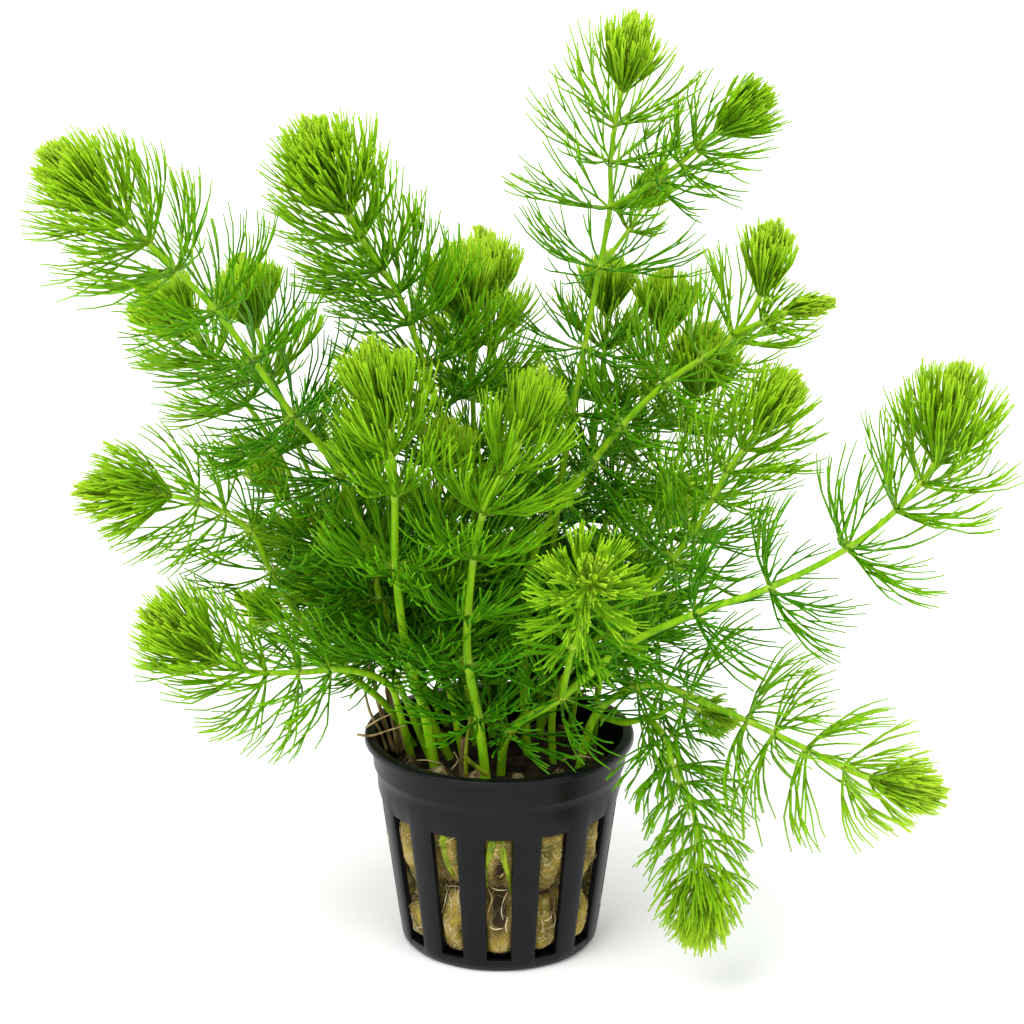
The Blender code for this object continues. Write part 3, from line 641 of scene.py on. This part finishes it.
# How long a full-size leaf is at those distances back.
LEAF_LENGTHS = ((0, 0.5), (3, 6), (6, 9), (9, 11.5), (12, 14), (15, 17), (20, 20.5), (28, 22.3))
BEND = (8, 0.24)
LEAVES_PER_WHORL, LEAVES_PER_BUD_WHORL = 15, 8
BUD_LENGTH = 11.0
FORK_PLACES = ((0.08, 0.18), (0.26, 0.42), (0.52, 0.70))
FORK_ANGLES = np.radians((14, 13, 12))
FORK_LEFT, FORK_SETTLING = 0.45, 0.14
THREAD_RADII = (0.36, 0.28, 0.225, 0.145)
BUD_WHORLS = 7
LOW_SPACING = 5.5
SHORT_FEET = 0.35
BUD_CORE = 1.1
# Each thread of a leaf: the thread it forks from, its first station and how often it is there.
THREADS = {0: (0, 0, 1), 4: (0, 1, 1), 2: (0, 2, 1), 6: (4, 2, 0.92), 1: (0, 3, 0.62),
           5: (4, 3, 0.56), 3: (2, 3, 0.36), 7: (6, 3, 0.36)}

# Every path runs from the root, or from the fork on the parent, to the tip of the last leaves, in
# millimetres. Whorls and forks are given by their distance back from that tip.
SHOOTS = {
    "shoot_high_left": dict(
        stem=1.05, leaf=20, lobes=6, open=-3, root=(-8, 0),
        path=[(-21, -6, 67), (-31, -10, 103), (-40, -13, 116), (-54, -17, 138), (-66, -21, 152),
              (-83, -26, 170)],
        whorls=(8, 15, 19, 25, 32.5, 44, 56.5, 70.5, 87, 104)),
    "shoot_left_behind": dict(
        stem=0.9, leaf=18, lobes=5, root=(-13, 11),
        path=[(-32, 12, 73), (-48, 22, 102), (-60, 27, 117), (-72, 31, 130)],
        whorls=(7, 13.5, 20, 31, 43.5, 58.5)),
    "shoot_left_back": dict(
        stem=0.85, leaf=17, lobes=5, root=(-8, 16),
        path=[(-31, 24, 74), (-44, 34, 100), (-51, 39, 121), (-54, 42, 132)],
        whorls=(6, 13.5, 24.5, 39.5, 56)),
    "shoot_tall_left": dict(
        stem=1.05, leaf=20, lobes=6, open=-13, root=(-4, 4),
        path=[(-9, 4, 72), (-10, 4, 104), (-15, 3, 122), (-20, 1, 137), (-27, -2, 149),
              (-36, -10, 172)],
        whorls=(10, 20.5, 26.5, 34.5, 40.5, 47, 56.5, 66, 77.5, 94)),
    "shoot_centre": dict(
        stem=0.95, leaf=18, lobes=5, root=(-1, 10),
        path=[(-5, 12, 78), (-5, 14, 100), (-6, 17, 120), (-9, 20, 140)],
        whorls=(6.5, 14, 20.5, 28, 38, 52, 70)),
    "shoot_centre_back": dict(
        stem=0.9, leaf=16, lobes=5, open=-10, younger=8, root=(-2, 17),
        path=[(0, 26, 77), (0, 34, 105), (-2, 38, 119), (-4, 43, 138)],
        whorls=(7.5, 16, 23, 35, 52, 70)),
    "shoot_tallest": dict(
        stem=0.95, leaf=21, lobes=6, leaves=9, root=(8, 8),
        path=[(10, 10, 72), (14, 12, 104), (20, 12, 139), (22, 11, 152), (22, 10, 162),
              (26, 2, 189)],
        whorls=(6.5, 14, 21.5, 29.5, 39, 51.5, 68.5, 82.5, 100.5, 122)),
    "shoot_tallest_branch": dict(
        stem=0.7, leaf=18, lobes=6, leaves=7, younger=-14, parent="shoot_tallest", fork=39,
        path=[(28, 7, 156), (35, 3, 162), (42, -1, 169), (51, -5, 177)],
        whorls=(8, 12.5, 18, 23, 29)),
    "shoot_tallest_twig": dict(
        stem=0.6, leaf=13, lobes=5, leaves=8, parent="shoot_tallest", fork=51.5,
        path=[(23, 15, 142), (28, 20, 148), (33, 27, 156)],
        whorls=(4, 10)),
    "shoot_right_back": dict(
        stem=0.85, leaf=16, lobes=5, root=(8, 16),
        path=[(16, 24, 74), (20, 31, 100), (22, 35, 118), (22, 38, 134)],
        whorls=(5.5, 11.5, 18.5, 29, 39.5, 54)),
    "shoot_upper_right": dict(
        stem=1.1, leaf=20, lobes=6, leaves=9, root=(6, 1),
        path=[(5, 1, 64), (8, 0, 86), (13, 0, 94), (24, -2, 110), (33, -4, 120), (45, -8, 130),
              (50, -10, 138), (52, -12, 152)],
        whorls=(6.5, 13, 23, 31, 40, 53, 62.5, 73, 90)),
    "shoot_upper_right_branch": dict(
        stem=0.75, leaf=17, lobes=5, leaves=8, parent="shoot_upper_right", fork=23,
        path=[(50, -12, 134), (56, -17, 138), (63, -22, 141)],
        whorls=(5, 10, 16)),
    "shoot_right": dict(
        stem=0.95, leaf=18, lobes=5, open=-7, leaves=10, root=(11, -4),
        path=[(12, -5, 56), (29, -9, 78), (39, -15, 94), (44, -19, 106), (50, -22, 116),
              (56, -25, 126)],
        whorls=(8, 13, 17.5, 23.5, 30, 39.5, 47.5, 58)),
    "shoot_far_right": dict(
        stem=1.05, leaf=20, lobes=6, open=-7, leaves=10, root=(0, -9),
        path=[(2, -14, 50), (12, -21, 60), (25, -28, 74), (38, -32, 82), (52, -34, 88),
              (66, -35, 96), (75, -36, 104), (82, -37, 114), (86, -38, 132)],
        whorls=(9, 18.5, 23.5, 30.5, 42.5, 59, 74.5, 90.5, 110, 126)),
    "shoot_front_branch": dict(
        stem=0.8, leaf=13.5, lobes=5, leaves=7, open=24, parent="shoot_far_right",
        fork=110,
        path=[(14, -31, 73), (16, -42, 84), (16, -54, 94), (18, -66, 102)],
        whorls=(6, 13, 20, 29.5, 42.5)),
    "shoot_middle_left": dict(
        stem=0.95, leaf=18, lobes=5, open=-5, leaves=7, root=(-15, 6),
        path=[(-23, 3, 49), (-32, -1, 59), (-40, -5, 71), (-45, -9, 82), (-49, -12, 92),
              (-58, -16, 99), (-68, -19, 102), (-80, -23, 104)],
        whorls=(9.5, 17.5, 23, 29, 36, 46.5, 60)),
    "shoot_middle_left_branch": dict(
        stem=0.65, leaf=12, lobes=5, leaves=7, parent="shoot_middle_left", fork=66,
        path=[(-40, 4, 66), (-46, 8, 67), (-54, 12, 70)],
        whorls=(5, 11)),
    "shoot_low_left": dict(
        stem=1.0, leaf=19, lobes=6, open=-7, leaves=9, root=(-17, 1),
        path=[(-20, -8, 52), (-22, -13, 60), (-30, -18, 65), (-39, -22, 66), (-50, -26, 68),
              (-60, -29, 75), (-67, -32, 82)],
        whorls=(10.5, 18, 23, 28, 34.5, 41)),
    "shoot_front_left": dict(
        stem=1.25, leaf=18.9, lobes=6, open=-11, root=(-12, -9),
        path=[(-15, -14, 55), (-18, -18, 68), (-20, -22, 88), (-20, -24, 104), (-21, -24, 116),
              (-24, -22, 132)],
        whorls=(10, 16, 21.5, 29, 44.5, 64.5)),
    "shoot_front": dict(
        stem=1.2, leaf=18, lobes=6, open=-11, younger=-3, root=(-2, -16),
        path=[(-4, -19, 55), (-6, -22, 68), (-6, -24, 78), (-3, -26, 100), (4, -25, 114),
              (8, -22, 126)],
        whorls=(7.5, 13, 20, 28.5, 38, 50.5, 61.5, 74.5)),
    "shoot_low_right": dict(
        stem=1.05, leaf=20, lobes=6, leaves=8, open=8, younger=6, root=(15, -8),
        path=[(20, -12, 54), (30, -16, 61), (40, -20, 59), (50, -24, 56), (60, -27, 52),
              (72, -30, 47), (85, -33, 45)],
        whorls=(5.5, 13, 18.5, 26.5, 33.5, 39, 52)),
    "shoot_drooping": dict(
        stem=0.95, leaf=13, lobes=5, leaves=7, open=-11, younger=12, root=(17, 2),
        path=[(19, -2, 48), (25, -11, 51), (30, -20, 55), (33, -26, 53), (34, -29, 49),
              (38, -31, 41), (40, -33, 26), (40, -33, 12)],
        whorls=(11, 18, 22, 26, 30, 34.5, 38.5, 44.5)),
    "shoot_drooping_branch": dict(
        stem=0.65, leaf=14, lobes=5, leaves=6, parent="shoot_drooping", fork=51,
        path=[(36, -14, 56), (42, -9, 52), (48, -5, 48)],
        whorls=(5.5, 11)),
    "shoot_inner_left": dict(
        stem=0.9, leaf=17, lobes=5, root=(-12, -2),
        path=[(-25, 0, 66), (-34, 3, 81), (-42, 6, 92), (-48, 8, 100)],
        whorls=(4.5, 9.5, 20.5, 31, 44)),
    "shoot_inner_front": dict(
        stem=0.9, leaf=17, lobes=5, root=(-6, -6),
        path=[(-12, -9, 72), (-12, -9, 95), (-10, -8, 112)],
        whorls=(4, 11, 19.5, 31, 45)),
    "shoot_back_tassel": dict(
        stem=0.85, leaf=17, lobes=5, root=(14, 12),
        path=[(20, 18, 76), (29, 26, 103), (34, 30, 121), (34, 32, 132)],
        whorls=(5, 12.5, 21, 30.5, 45.5, 62)),
    "shoot_inner_right": dict(
        stem=0.9, leaf=17, lobes=5, root=(19, 8),
        path=[(22, 10, 61), (29, 14, 81), (38, 14, 104), (42, 12, 126)],
        whorls=(6.5, 14, 22, 33, 45, 60)),
    "shoot_rear_centre": dict(
        stem=0.75, leaf=17, lobes=5, parent="shoot_centre_back", fork=88,
        path=[(3, 34, 69), (6, 48, 89), (8, 58, 102)],
        whorls=(6, 14, 26)),
    "shoot_rear_left": dict(
        stem=0.75, leaf=17, lobes=5, parent="shoot_left_back", fork=92,
        path=[(-22, 32, 62), (-28, 46, 79), (-31, 56, 94)],
        whorls=(6, 14, 26)),
    "shoot_rear_right": dict(
        stem=0.75, leaf=17, lobes=5, parent="shoot_back_tassel", fork=88,
        path=[(21, 26, 56), (32, 40, 70), (40, 50, 82)],
        whorls=(6, 12, 22)),
    "shoot_rear_low_left": dict(
        stem=0.75, leaf=17, lobes=5, parent="shoot_left_behind", fork=92,
        path=[(-28, 24, 53), (-36, 36, 60), (-43, 46, 66)],
        whorls=(6, 12, 21)),
    "shoot_rear_low": dict(
        stem=0.75, leaf=17, lobes=5, parent="shoot_right_back", fork=88,
        path=[(10, 32, 54), (11, 46, 58), (13, 60, 60)],
        whorls=(6, 12, 21)),
}
# How much of a shoot's foot has no leaves; elsewhere it is 10 mm.
BARE_FEET = {"shoot_front_left": 200, "shoot_front": 200, "shoot_far_right": 36,
             "shoot_low_left": 200, "shoot_front_branch": 200, "shoot_middle_left": 200,
             "shoot_high_left": 34, "shoot_inner_left": 34, "shoot_left_behind": 30,
             "shoot_inner_front": 24, "shoot_tall_left": 20, "shoot_left_back": 24,
             "shoot_low_right": 30, "shoot_drooping": 200,
             "shoot_right": 30, "shoot_inner_right": 26, "shoot_upper_right": 24,
             "shoot_back_tassel": 18, "shoot_tallest": 18}


class Shoot:
    """One shoot's axis, with directions across it that turn as little as its bends allow."""

    def __init__(self, name):
        spec = SHOOTS[name]
        self.name = name
        self.spec = spec
        self.parent = shoots.get(spec.get("parent"))
        if self.parent:
            start = self.parent.place(np.array([spec["fork"]], float))[0][0]
        else:
            start = (*spec["root"], ROOT_HEIGHT)
        self.points = smooth_curve([start, *spec["path"]], CURVE_STEP)
        lengths = np.linalg.norm(np.diff(self.points, axis=0), axis=1)
        self.from_tip = lengths.sum() - np.concatenate([[0], np.cumsum(lengths)])
        self.length = self.from_tip[0]
        along = np.gradient(self.points, axis=0)
        along /= np.linalg.norm(along, axis=1)[:, None]
        level = np.cross(self.points[-1] - self.points[0], (0, 0, 1))
        side = level - along * (along @ level)[:, None]
        side /= np.linalg.norm(side, axis=1)[:, None]
        self.table = np.hstack([self.points, along, side])

    def place(self, from_tip):
        """Point, tangent and two directions across, at distances back from the tip.

        Past the tip the axis goes straight on.
        """
        rows = np.stack([np.interp(-from_tip, -self.from_tip, column) for column in self.table.T],
                        -1)
        point, along, side = rows[..., :3], rows[..., 3:6], rows[..., 6:]
        point = point - np.minimum(from_tip, 0)[..., None] * along
        return point, along, side, np.cross(along, side)

    def radius(self, from_tip):
        """The stem's radius, which tapers towards the tip."""
        share = np.clip(from_tip / self.length, 0, 1)
        return SLIMNESS * self.spec["stem"] * (TIP_TAPER + (1 - TIP_TAPER) * share ** TAPER_POWER)

    def whorl_places(self):
        """All whorls: those that shape the solid, the tassel's young ones and old low ones."""
        listed = np.array(self.spec["whorls"], float)
        bud = np.linspace(0.6 * listed[0], 0.9 * listed[1] + 0.1 * listed[0], BUD_WHORLS)
        bare = BARE_FEET.get(self.name, 10)
        old = np.arange(listed[-1] + LOW_SPACING, self.length - bare, LOW_SPACING)
        return bud, listed, old


def leaf_paths(shoot, rng):
    """The eight thread paths of every leaf on a shoot: paths[leaf, thread, station].

    A leaf that opens by A degrees leaves the stem at A + B and ends at A - B, with
    B = 8 + 0.24 A. It forks three times: bits 2, 1 and 0 of a thread's number say to which side
    it goes. After a fork of angle C a thread is turned by C (F + (1 - F) exp(-s / S)), with s the
    share of the leaf's length since the fork, F = FORK_LEFT and S = FORK_SETTLING, so its threads
    end nearly parallel. Each fork has a plane of its own. A path is the sum of such directions
    over its steps, and is its parent's up to its own fork.
    """
    spec = shoot.spec
    bud, listed, old = shoot.whorl_places()
    whorls = np.concatenate([bud, listed, old])
    full = spec.get("leaves", LEAVES_PER_WHORL)
    in_bud = whorls < BUD_LENGTH * spec["leaf"] / FULL_LEAF
    numbers = np.where(in_bud, min(LEAVES_PER_BUD_WHORL, full), full)
    count = numbers.sum()
    from_tip = np.repeat(whorls, numbers) + rng.normal(0, 0.25, count)
    age = from_tip * FULL_LEAF / spec["leaf"]
    order = np.concatenate([np.arange(number) / number for number in numbers])
    turn = np.repeat(rng.uniform(0, 2 * math.pi, len(whorls)), numbers) + 2 * math.pi * order
    turn += rng.normal(0, 0.1, count)
    past = np.clip((from_tip - listed[-1]) / 13, 0, 1)
    opening = np.interp(age, *zip(*OPENINGS)) + spec.get("open", 0) * np.clip(age / 8, 0, 1)
    opening = opening + rng.normal(0, 1, count) * (1.5 + 0.08 * opening) + 10 * past
    bend = np.radians(BEND[0] + BEND[1] * opening)
    opening = np.radians(opening)
    length = spec["leaf"] / FULL_LEAF * np.interp(age, *zip(*LEAF_LENGTHS))
    length *= rng.uniform(np.where(age < 12, 0.6, 0.84), 1.06) * (1 - 0.15 * past)
    length *= 1 - SHORT_FEET * np.clip((from_tip - shoot.length + 28) / 14, 0, 1)
    forks = np.stack([rng.uniform(*span, count) for span in FORK_PLACES], 1)
    stops = np.stack([np.zeros(count), *forks.T, (forks[:, 2] + 1) / 2, np.ones(count)], 1)
    threads = np.arange(8)
    sign = np.array([[1 - 2 * (thread >> bit & 1) for bit in (2, 1, 0)] for thread in threads])
    fork_angle = FORK_ANGLES * rng.uniform(0.7, 1.4, (count, 3)) * rng.choice([-1, 1], (count, 3))
    fork_angle *= np.clip(age / 20, 0.35, 1)[:, None]
    uneven = rng.normal(0, 0.3, (count, 3))
    plane = rng.normal(0, 0.5, (count, 3)) + (0.3, 1.5, 0.8)
    shrink = rng.uniform(0, 0.35, (count, 8))
    curl = rng.normal(0, 0.12, count)
    point, _, side, third = shoot.place(from_tip)
    across = np.cos(turn)[:, None] * side + np.sin(turn)[:, None] * third
    start = point + 0.7 * shoot.radius(from_tip)[:, None] * across
    place = np.broadcast_to(start[:, None], (count, 8, 3)).copy()
    ahead = np.zeros((count, 8))
    paths, sides = [place.copy()], []
    for step in range(5):
        middle = (stops[:, step] + stops[:, step + 1]) / 2
        since = middle[:, None] - forks
        turned = FORK_LEFT + (1 - FORK_LEFT) * np.exp(-since.clip(0) / FORK_SETTLING)
        turned = fork_angle * (since > 0) * turned
        spread = turned[:, None] * (sign + uneven[:, None])
        yaw = (spread * np.cos(plane)[:, None]).sum(2) + (curl * middle)[:, None]
        lean = (spread * np.sin(plane)[:, None]).sum(2) + (opening + bend * (1 - 2 * middle))[:, None]
        lean = np.clip(lean, math.radians(-6), math.radians(125))
        _, along, side, third = shoot.place(np.maximum(from_tip[:, None] - ahead, 0))
        cos, sin = np.cos(turn)[:, None, None], np.sin(turn)[:, None, None]
        out, round_it = cos * side + sin * third, cos * third - sin * side
        heading = (np.cos(lean)[..., None] * along + np.sin(lean)[..., None] * out)
        heading = np.cos(yaw)[..., None] * heading + np.sin(yaw)[..., None] * round_it
        reach = ((stops[:, step + 1] - stops[:, step]) * length)[:, None]
        if step > 2:
            reach = reach * (1 - shrink)
        place = place + reach[..., None] * heading
        ahead = ahead + reach * np.cos(lean)
        paths.append(place)
        sides.append(round_it)
    sides.append(sides[-1])
    return np.stack(paths, 2), np.stack(sides, 2), stops, age


def clear_of_pot(points, rng):
    """Lift leaf points off the ground, out of the wool and over the pot's rim.

    A height z above a lowest one of m becomes m + ln(1 + exp(z - m)), which eases into m.
    """
    distance = np.hypot(points[..., 0], points[..., 1])
    inside = distance < LIP_RADIUS + 0.5
    over_rim = np.clip((distance - 19) / 4, 0, 1)
    spare = rng.uniform(0, 4, len(points))[:, None, None] * np.clip(distance / 20, 0, 1)
    lowest = np.where(inside, 41.3 + (POT_HEIGHT - 40.8) * over_rim + spare, 0.4)
    raised = lowest + np.logaddexp(0, points[..., 2] - lowest)
    return np.concatenate([points[..., :2], raised[..., None]], -1)


def leaves_of(shoot, rng):
    """Points, faces and values of all leaves: each thread is drawn from its own fork outwards."""
    paths, sides, stops, age = leaf_paths(shoot, rng)
    paths = clear_of_pot(paths, rng)
    radii = np.interp(stops, (0, 0.25, 0.7, 1), THREAD_RADII)
    young = np.clip(age / 12, 0.9, 1)
    age = age - shoot.spec.get("younger", 0)
    chance = rng.uniform(0, 1, len(age))
    lots = rng.uniform(size=(8, len(age)))
    drawn = {0: lots[0] < 1}
    parts = []
    for thread, (parent, first, share) in THREADS.items():
        drawn[thread] = drawn[parent] & (lots[thread] < share)
        chosen = drawn[thread]
        path = paths[chosen, thread, first:]
        radius = radii[chosen, first:] * young[chosen, None]
        points, *faces = tubes(path, radius, sides[chosen, thread, first:], 3)
        spans = np.stack([stops[chosen, first:], np.broadcast_to(age[chosen, None], path.shape[:2]),
                          np.broadcast_to(chance[chosen, None], path.shape[:2])])
        parts.append((points, faces, np.repeat(spans, 3, axis=2).reshape(3, -1)))
    return parts


def stem_of(shoot):
    """The stem as one tube, whose radius swells by a bell curve at each whorl and in the bud."""
    bud = shoot.spec["whorls"][0]
    apex = 0.35 * bud
    reach = np.arange(shoot.length, apex, -1.4)
    reach = np.unique(np.concatenate([reach, shoot.spec["whorls"], [apex]]))[::-1]
    point, _, side, _ = shoot.place(reach)
    whorls = np.concatenate(shoot.whorl_places()[1:])
    near = np.exp(-((reach[:, None] - whorls) / 0.8) ** 2).sum(1)
    radius = shoot.radius(reach) * (1 + (NODE_SWELL - 1) * np.minimum(near, 1))
    core = np.exp(-((reach / bud - 0.72) / 0.33) ** 2)
    radius = radius * (1 - 0.5 * core) + BUD_CORE * shoot.spec["leaf"] / FULL_LEAF * core
    points, *faces = tubes(point[None], radius[None], side[None], STEM_SIDES)
    values = np.stack([np.repeat(near, STEM_SIDES), np.repeat(reach, STEM_SIDES),
                       np.zeros(len(points))])
    return points, faces, values


def joined_mesh(name, parts, wearing):
    """One mesh of several parts, with their values as attributes and a material for each."""
    points = np.vstack([part[0] for part in parts])
    starts = np.cumsum([0] + [len(part[0]) for part in parts])
    faces = [group + start for part, start in zip(parts, starts) for group in part[1]]
    mesh = new_mesh(name, points, *faces)
    for attribute, values in zip(("along", "from_tip", "chance"),
                                 np.hstack([part[2] for part in parts])):
        layer = mesh.attributes.new(attribute, "FLOAT", "POINT")
        layer.data.foreach_set("value", values.astype(np.float32))
    slots = np.concatenate([np.full(len(group), index)
                            for part, index in zip(parts, wearing) for group in part[1]])
    mesh.polygons.foreach_set("material_index", slots.astype(np.int32))
    return mesh


def leaf_green():
    """Leaf threads: deep green when old, yellow-green when young, paler to their tips and feet."""
    green = Finish("leaf_green", (0.14, 0.34, 0.004), 0.42,
                   **{"Specular IOR Level": 0.05, "Subsurface Weight": 0.5,
                      "Subsurface Radius": (0.8, 1, 0.1), "Subsurface Scale": 0.001})
    age = green.attribute("from_tip")
    along = green.attribute("along")
    chance = green.attribute("chance")
    youth = (1.0 - 0.0143 * age + 0.12 * along - 0.1 * chance).clamped()
    colour = green.ramp(youth, (0.0, (0.035, 0.19, 0.002)), (0.35, (0.07, 0.27, 0.003)),
                        (0.6, (0.13, 0.35, 0.005)), (0.8, (0.18, 0.41, 0.008)),
                        (0.9, (0.25, 0.49, 0.014)), (1.0, (0.34, 0.60, 0.03)))
    foot = (1.0 - 8.0 * along).clamped() * 0.7
    colour = green.mix(foot, colour, (0.42, 0.64, 0.05, 1))
    green.vary({"Base Color": colour, "Roughness": 0.36 + 0.14 * chance})
    return green


def stem_green():
    """Stems: yellow-green, with pale nodes, faint long streaks and cross rings low down."""
    stem = Finish("stem_green", (0.20, 0.36, 0.02), 0.34, **{"Specular IOR Level": 0.1})
    node = stem.attribute("along")
    from_tip = stem.attribute("from_tip")
    streaks = stem.noise(60.0, 3.0, stem.stretched((14.0, 14.0, 1.0)))
    rings = stem.noise(700.0, 2.0, stem.stretched((0.15, 0.15, 1.0)))
    old = (0.02 * from_tip - 1.1).clamped()
    height = streaks + old * rings
    colour = stem.ramp(streaks, (0.35, (0.15, 0.39, 0.004)), (0.65, (0.29, 0.54, 0.008)))
    young = (1.0 - 0.028 * from_tip).clamped() * 0.6
    colour = stem.mix(young, colour, (0.32, 0.56, 0.006, 1))
    dark = old * (3.0 * rings - 1.7).clamped() * 0.7
    colour = stem.mix(dark, colour, (0.05, 0.13, 0.008, 1))
    stem.vary({"Base Color": stem.mix(node.clamped() * 0.75, colour, (0.50, 0.70, 0.08, 1)),
               "Normal": stem.bump(height, 0.0001, 0.6)})
    return stem


leaf_finish, stem_finish = leaf_green(), stem_green()
shoots = {}
for number, shoot_name in enumerate(SHOOTS):
    growing = shoots[shoot_name] = Shoot(shoot_name)
    parts = leaves_of(growing, np.random.default_rng(100 + number)) + [stem_of(growing)]
    wearing = [0] * (len(parts) - 1) + [1]
    mesh = joined_mesh("grown_" + shoot_name, parts, wearing)
    new_piece("grown_" + shoot_name, mesh, "fresh_green", leaf_finish, stem_finish,
              replaces=[shoot_name])

# Old growth left in the pot: cut brown stems standing in the wool, straw-dry leaves caught on the
# rim, and two short green stubs.
OLD_STEMS = {
    "old_stem_left": dict(radius=1.2, path=[(-19.5, 6.5, 34), (-21, 7, 43), (-22.5, 7.5, 51)]),
    "old_stem_front": dict(radius=0.6, path=[(-7, -11, 35), (-7.5, -11, 42), (-7, -12, 48)]),
}
DRY_STALKS = ((0.5, ((-21.6, 2.6, 39), (-23.4, 4.6, 44), (-25.2, 6, 50), (-26.6, 6.4, 57))),
              (0.42, ((-20.8, 1.6, 39), (-21.6, 3.2, 44), (-22.8, 4.2, 50), (-23.4, 5.4, 55))),
              (0.35, ((-23.0, 1.2, 40), (-24.6, 2.0, 44.4), (-26.4, 2.2, 48), (-27.6, 3.0, 53))),
              (0.3, ((-18.6, -1.0, 40), (-20.2, 0.2, 45), (-20.6, 1.4, 51))))
DRY_LEAVES = ((0.3, ((-28.8, -3.2, 45.2), (-26.2, -4, 45.3), (-22.6, -6, 47.2), (-19.0, -8, 49.2))),
              (0.26, ((-27.2, -1.8, 46.2), (-24.2, -3, 48.6), (-21.6, -4.6, 50.4))),
              (0.22, ((12.4, -16.6, 45.0), (15.2, -15.8, 45.8), (18.8, -15, 45.0))),
              (0.2, ((-9.6, -14.6, 42.2), (-8.2, -15.2, 44.6), (-9.0, -15.8, 46.6))),
              (0.18, ((-16.6, -10.6, 42.6), (-14.4, -12.4, 43.4), (-11.4, -13.2, 43.0))))
STUBS = ((0.65, ((-2.4, -17.6, 42.6), (-4.0, -18.0, 44.0), (-5.6, -18.3, 45.4), (-6.8, -18.3, 46.8))),
         (0.45, ((-6.6, -15.8, 41.6), (-6.6, -15.6, 46), (-6.2, -15.0, 50), (-5.4, -14.2, 55))))


def old_brown():
    """Dry bark-like brown with darker streaks."""
    brown = Finish("old_brown", (0.25, 0.15, 0.05), 0.75)
    streaks = brown.noise(90.0, 3.0, brown.stretched((10.0, 10.0, 1.0)))
    brown.vary({"Base Color": brown.ramp(streaks, (0.35, (0.12, 0.07, 0.02)),
                                         (0.65, (0.40, 0.28, 0.10))),
                "Normal": brown.bump(streaks, 0.0003)})
    return brown


def straw():
    """Dry leaf: pale straw with brown specks."""
    dry = Finish("straw", (0.45, 0.33, 0.12), 0.7)
    dry.vary({"Base Color": dry.ramp(dry.noise(500.0, 3.0), (0.38, (0.20, 0.12, 0.035)),
                                     (0.6, (0.52, 0.40, 0.16)))})
    return dry


def tapered_tube(points, radius, sides, ends):
    """A tube on a smooth path: its radius goes from the first to the last of the ends' shares."""
    path = smooth_curve(points, 0.8)
    radii = radius * np.linspace(*ends, len(path)) * (1 + 0.12 * waves(path, 4.0, 7))
    return tubes(path[None], radii[None], np.full((1, len(path), 3), (0.3, 0.9, 0.1)), sides)


def bundle_mesh(name, rows, sides, ends):
    """Several tapered tubes in one mesh."""
    points, faces, start = [], [], 0
    for radius, course in rows:
        spots, *walls = tapered_tube(course, radius, sides, ends)
        points.append(spots)
        faces += [wall + start for wall in walls]
        start += len(spots)
    return new_mesh(name, np.vstack(points), *faces)


brown_finish = old_brown()
for old_name, spec in OLD_STEMS.items():
    mesh = new_mesh("dry_" + old_name, *tapered_tube(spec["path"], spec["radius"], 10, (1, 1)))
    new_piece("dry_" + old_name, mesh, "old_brown", brown_finish, replaces=[old_name])
new_piece("dry_stalks", bundle_mesh("dry_stalks", DRY_STALKS, 8, (1.1, 0.7)), "old_brown",
          brown_finish)
new_piece("dry_leaves", bundle_mesh("dry_leaves", DRY_LEAVES, 6, (1, 0.4)), "old_brown", straw())
new_piece("green_stubs", bundle_mesh("green_stubs", STUBS, 10, (1, 0.75)), "fresh_green",
          root_green_finish)

# The studio: a plain white floor, a soft white surround, and two large soft lamps.
bpy.ops.mesh.primitive_plane_add(size=12)
floor = bpy.context.object
floor.name = "studio_floor"
paper = Finish("studio_white", (0.95, 0.95, 0.95), 0.9)
floor.data.materials.append(paper.material)

world = bpy.data.worlds.new("studio")
bpy.context.scene.world = world
world.use_nodes = True
world.node_tree.nodes["Background"].inputs["Color"].default_value = (1, 1, 1, 1)
world.node_tree.nodes["Background"].inputs["Strength"].default_value = 1.18


def soft_lamp(name, turn, height, strength, softness):
    """A far soft lamp: its light comes from that turn from the front, at that height in degrees."""
    lamp = bpy.data.lights.new(name, "SUN")
    lamp.energy = strength
    lamp.angle = math.radians(softness)
    holder = bpy.data.objects.new(name, lamp)
    bpy.context.scene.collection.objects.link(holder)
    holder.rotation_euler = (math.radians(90 - height), 0, math.radians(turn))


soft_lamp("lamp_above_left", -35, 55, 1.6, 35)
soft_lamp("lamp_right", 50, 40, 0.7, 50)

scene = bpy.context.scene
scene.view_settings.view_transform = "Standard"
camera_data = bpy.data.cameras.new("camera")
camera_data.sensor_width = 36
camera_data.lens = 122.5
camera = bpy.data.objects.new("camera", camera_data)
scene.collection.objects.link(camera)
camera.location = (0.0026, -0.6608, 0.31135)
camera.rotation_euler = (math.radians(71.623), 0, 0)
scene.camera = camera
